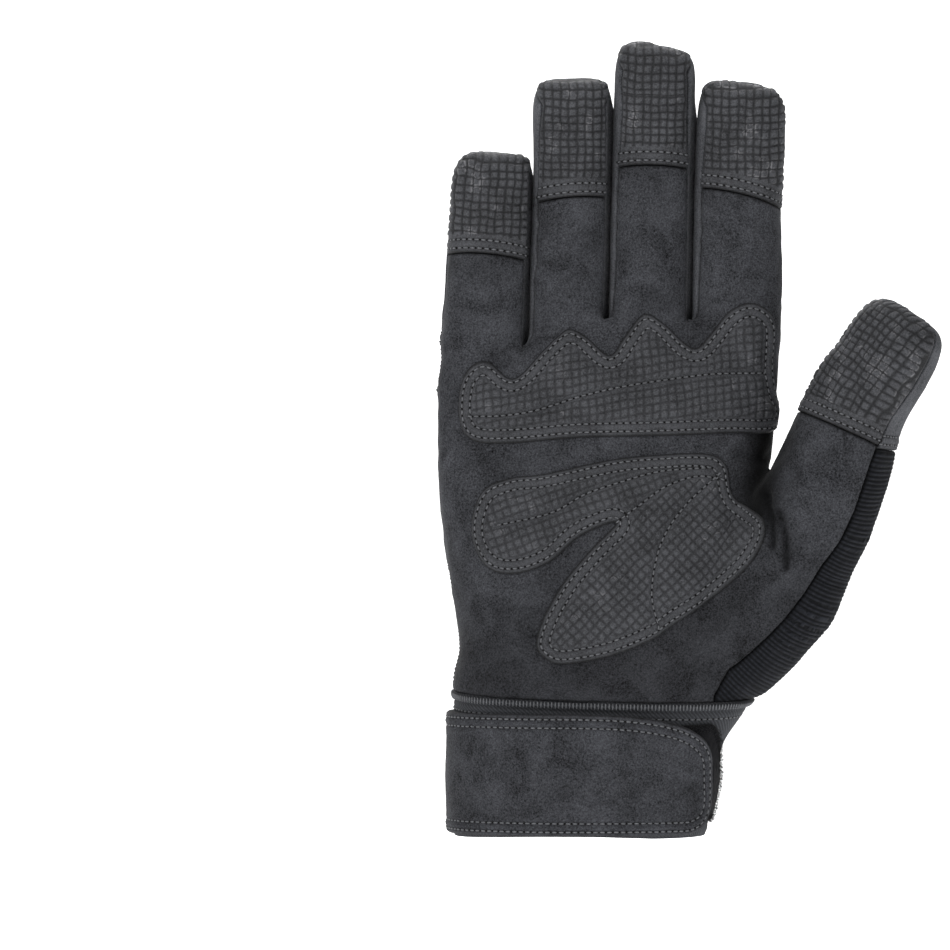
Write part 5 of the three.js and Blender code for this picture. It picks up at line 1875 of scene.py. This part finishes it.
def build_stage(scene):
    """The backdrop, the lights and the camera. Standard keeps the pale backdrop white, as in the photo."""
    scene.view_settings.view_transform = "Standard"
    material, tree, shader = new_material("pale_backdrop", 0.9, 0.0)
    place = node(tree, "ShaderNodeTexCoord").outputs["Object"]
    mottle = node(tree, "ShaderNodeTexNoise", {"Vector": place, "Scale": 3.0}).outputs["Fac"]
    coloured(tree, shader, (0.92, 0.92, 0.925), [remap(tree, mottle, 0.3, 0.7, 0.99, 1.01)])
    shader.inputs["Emission Color"].default_value = (1, 1, 1, 1)
    shader.inputs["Emission Strength"].default_value = 0.85
    depths = [(FLOOR_NEAR, FLOOR), (FLOOR_FAR, FLOOR)]
    for t in np.linspace(0.1, math.pi / 2, 16):
        depths.append((FLOOR_FAR + BEND * math.sin(t), FLOOR + BEND * (1 - math.cos(t))))
    depths.append((FLOOR_FAR + BEND, BACKDROP_TOP))
    points = [(side * FLOOR_SIDE, y, z) for y, z in depths for side in (-1, 1)]
    faces = []
    for k in range(len(depths) - 1):
        faces += [(2 * k, 2 * k + 1, 2 * k + 3), (2 * k, 2 * k + 3, 2 * k + 2)]
    backdrop = to_object("backdrop", np.array(points) * MILLIMETRE, faces)
    backdrop.data.materials.append(material)
    for polygon in backdrop.data.polygons:
        polygon.use_smooth = True

    world = scene.world or bpy.data.worlds.new("studio")
    scene.world = world
    world.use_nodes = True
    background = world.node_tree.nodes["Background"]
    background.inputs["Color"].default_value = (1, 1, 1, 1)
    background.inputs["Strength"].default_value = 0.2

    for name, spot, size, power in LIGHTS:
        lamp = bpy.data.lights.new(name, "AREA")
        lamp.size = size * MILLIMETRE
        lamp.energy = power
        thing = linked(name, lamp)
        thing.location = Vector(spot) * MILLIMETRE
        aim = Vector(LIGHT_AIM) - thing.location
        thing.rotation_euler = aim.to_track_quat("-Z", "Y").to_euler()

    camera = linked("photo_camera", bpy.data.cameras.new("photo_camera"))
    camera.location = (PHOTO_CENTRE[0] * METRES, -CAMERA_DISTANCE * METRES, PHOTO_CENTRE[1] * METRES)
    camera.rotation_euler = (math.pi / 2, 0, 0)
    camera.data.sensor_width = SENSOR
    camera.data.lens = SENSOR * (CAMERA_DISTANCE + FRONT) / (PHOTO_SIZE * PHOTO_PIXEL)
    camera.data.clip_end = 20
    scene.camera = camera


PIECES = ("grip_tips", "back_caps", "cheeks", "knit", "palm", "pads", "cuff", "strap", "stage")


class GLOVE_PT_panel(bpy.types.Panel):
    """Lists the glove's sizes, colours and pieces."""

    bl_idname = "GLOVE_PT_panel"
    bl_label = "Mechanic Glove"
    bl_space_type = "VIEW_3D"
    bl_region_type = "UI"
    bl_category = "Glove"

    def draw(self, context):
        for settings in (context.scene.glove_sizes, context.scene.glove_colours):
            for name in settings.bl_rna.properties.keys():
                if name not in ("rna_type", "name"):
                    self.layout.prop(settings, name)
        for name in PIECES:
            self.layout.operator(f"glove.{name}")


CLASSES = (
    GloveSizes, GloveColours, GLOVE_OT_grip_tips, GLOVE_OT_back_caps, GLOVE_OT_cheeks, GLOVE_OT_knit,
    GLOVE_OT_palm, GLOVE_OT_pads, GLOVE_OT_cuff, GLOVE_OT_strap, GLOVE_OT_stage, GLOVE_PT_panel,
)


def register():
    for each in CLASSES:
        bpy.utils.register_class(each)
    bpy.types.Scene.glove_sizes = bpy.props.PointerProperty(type=GloveSizes)
    bpy.types.Scene.glove_colours = bpy.props.PointerProperty(type=GloveColours)


def unregister():
    del bpy.types.Scene.glove_sizes
    del bpy.types.Scene.glove_colours
    for each in reversed(CLASSES):
        bpy.utils.unregister_class(each)


def main():
    register()
    for name in PIECES:
        getattr(bpy.ops.glove, name)()


if __name__ == "__main__":
    main()
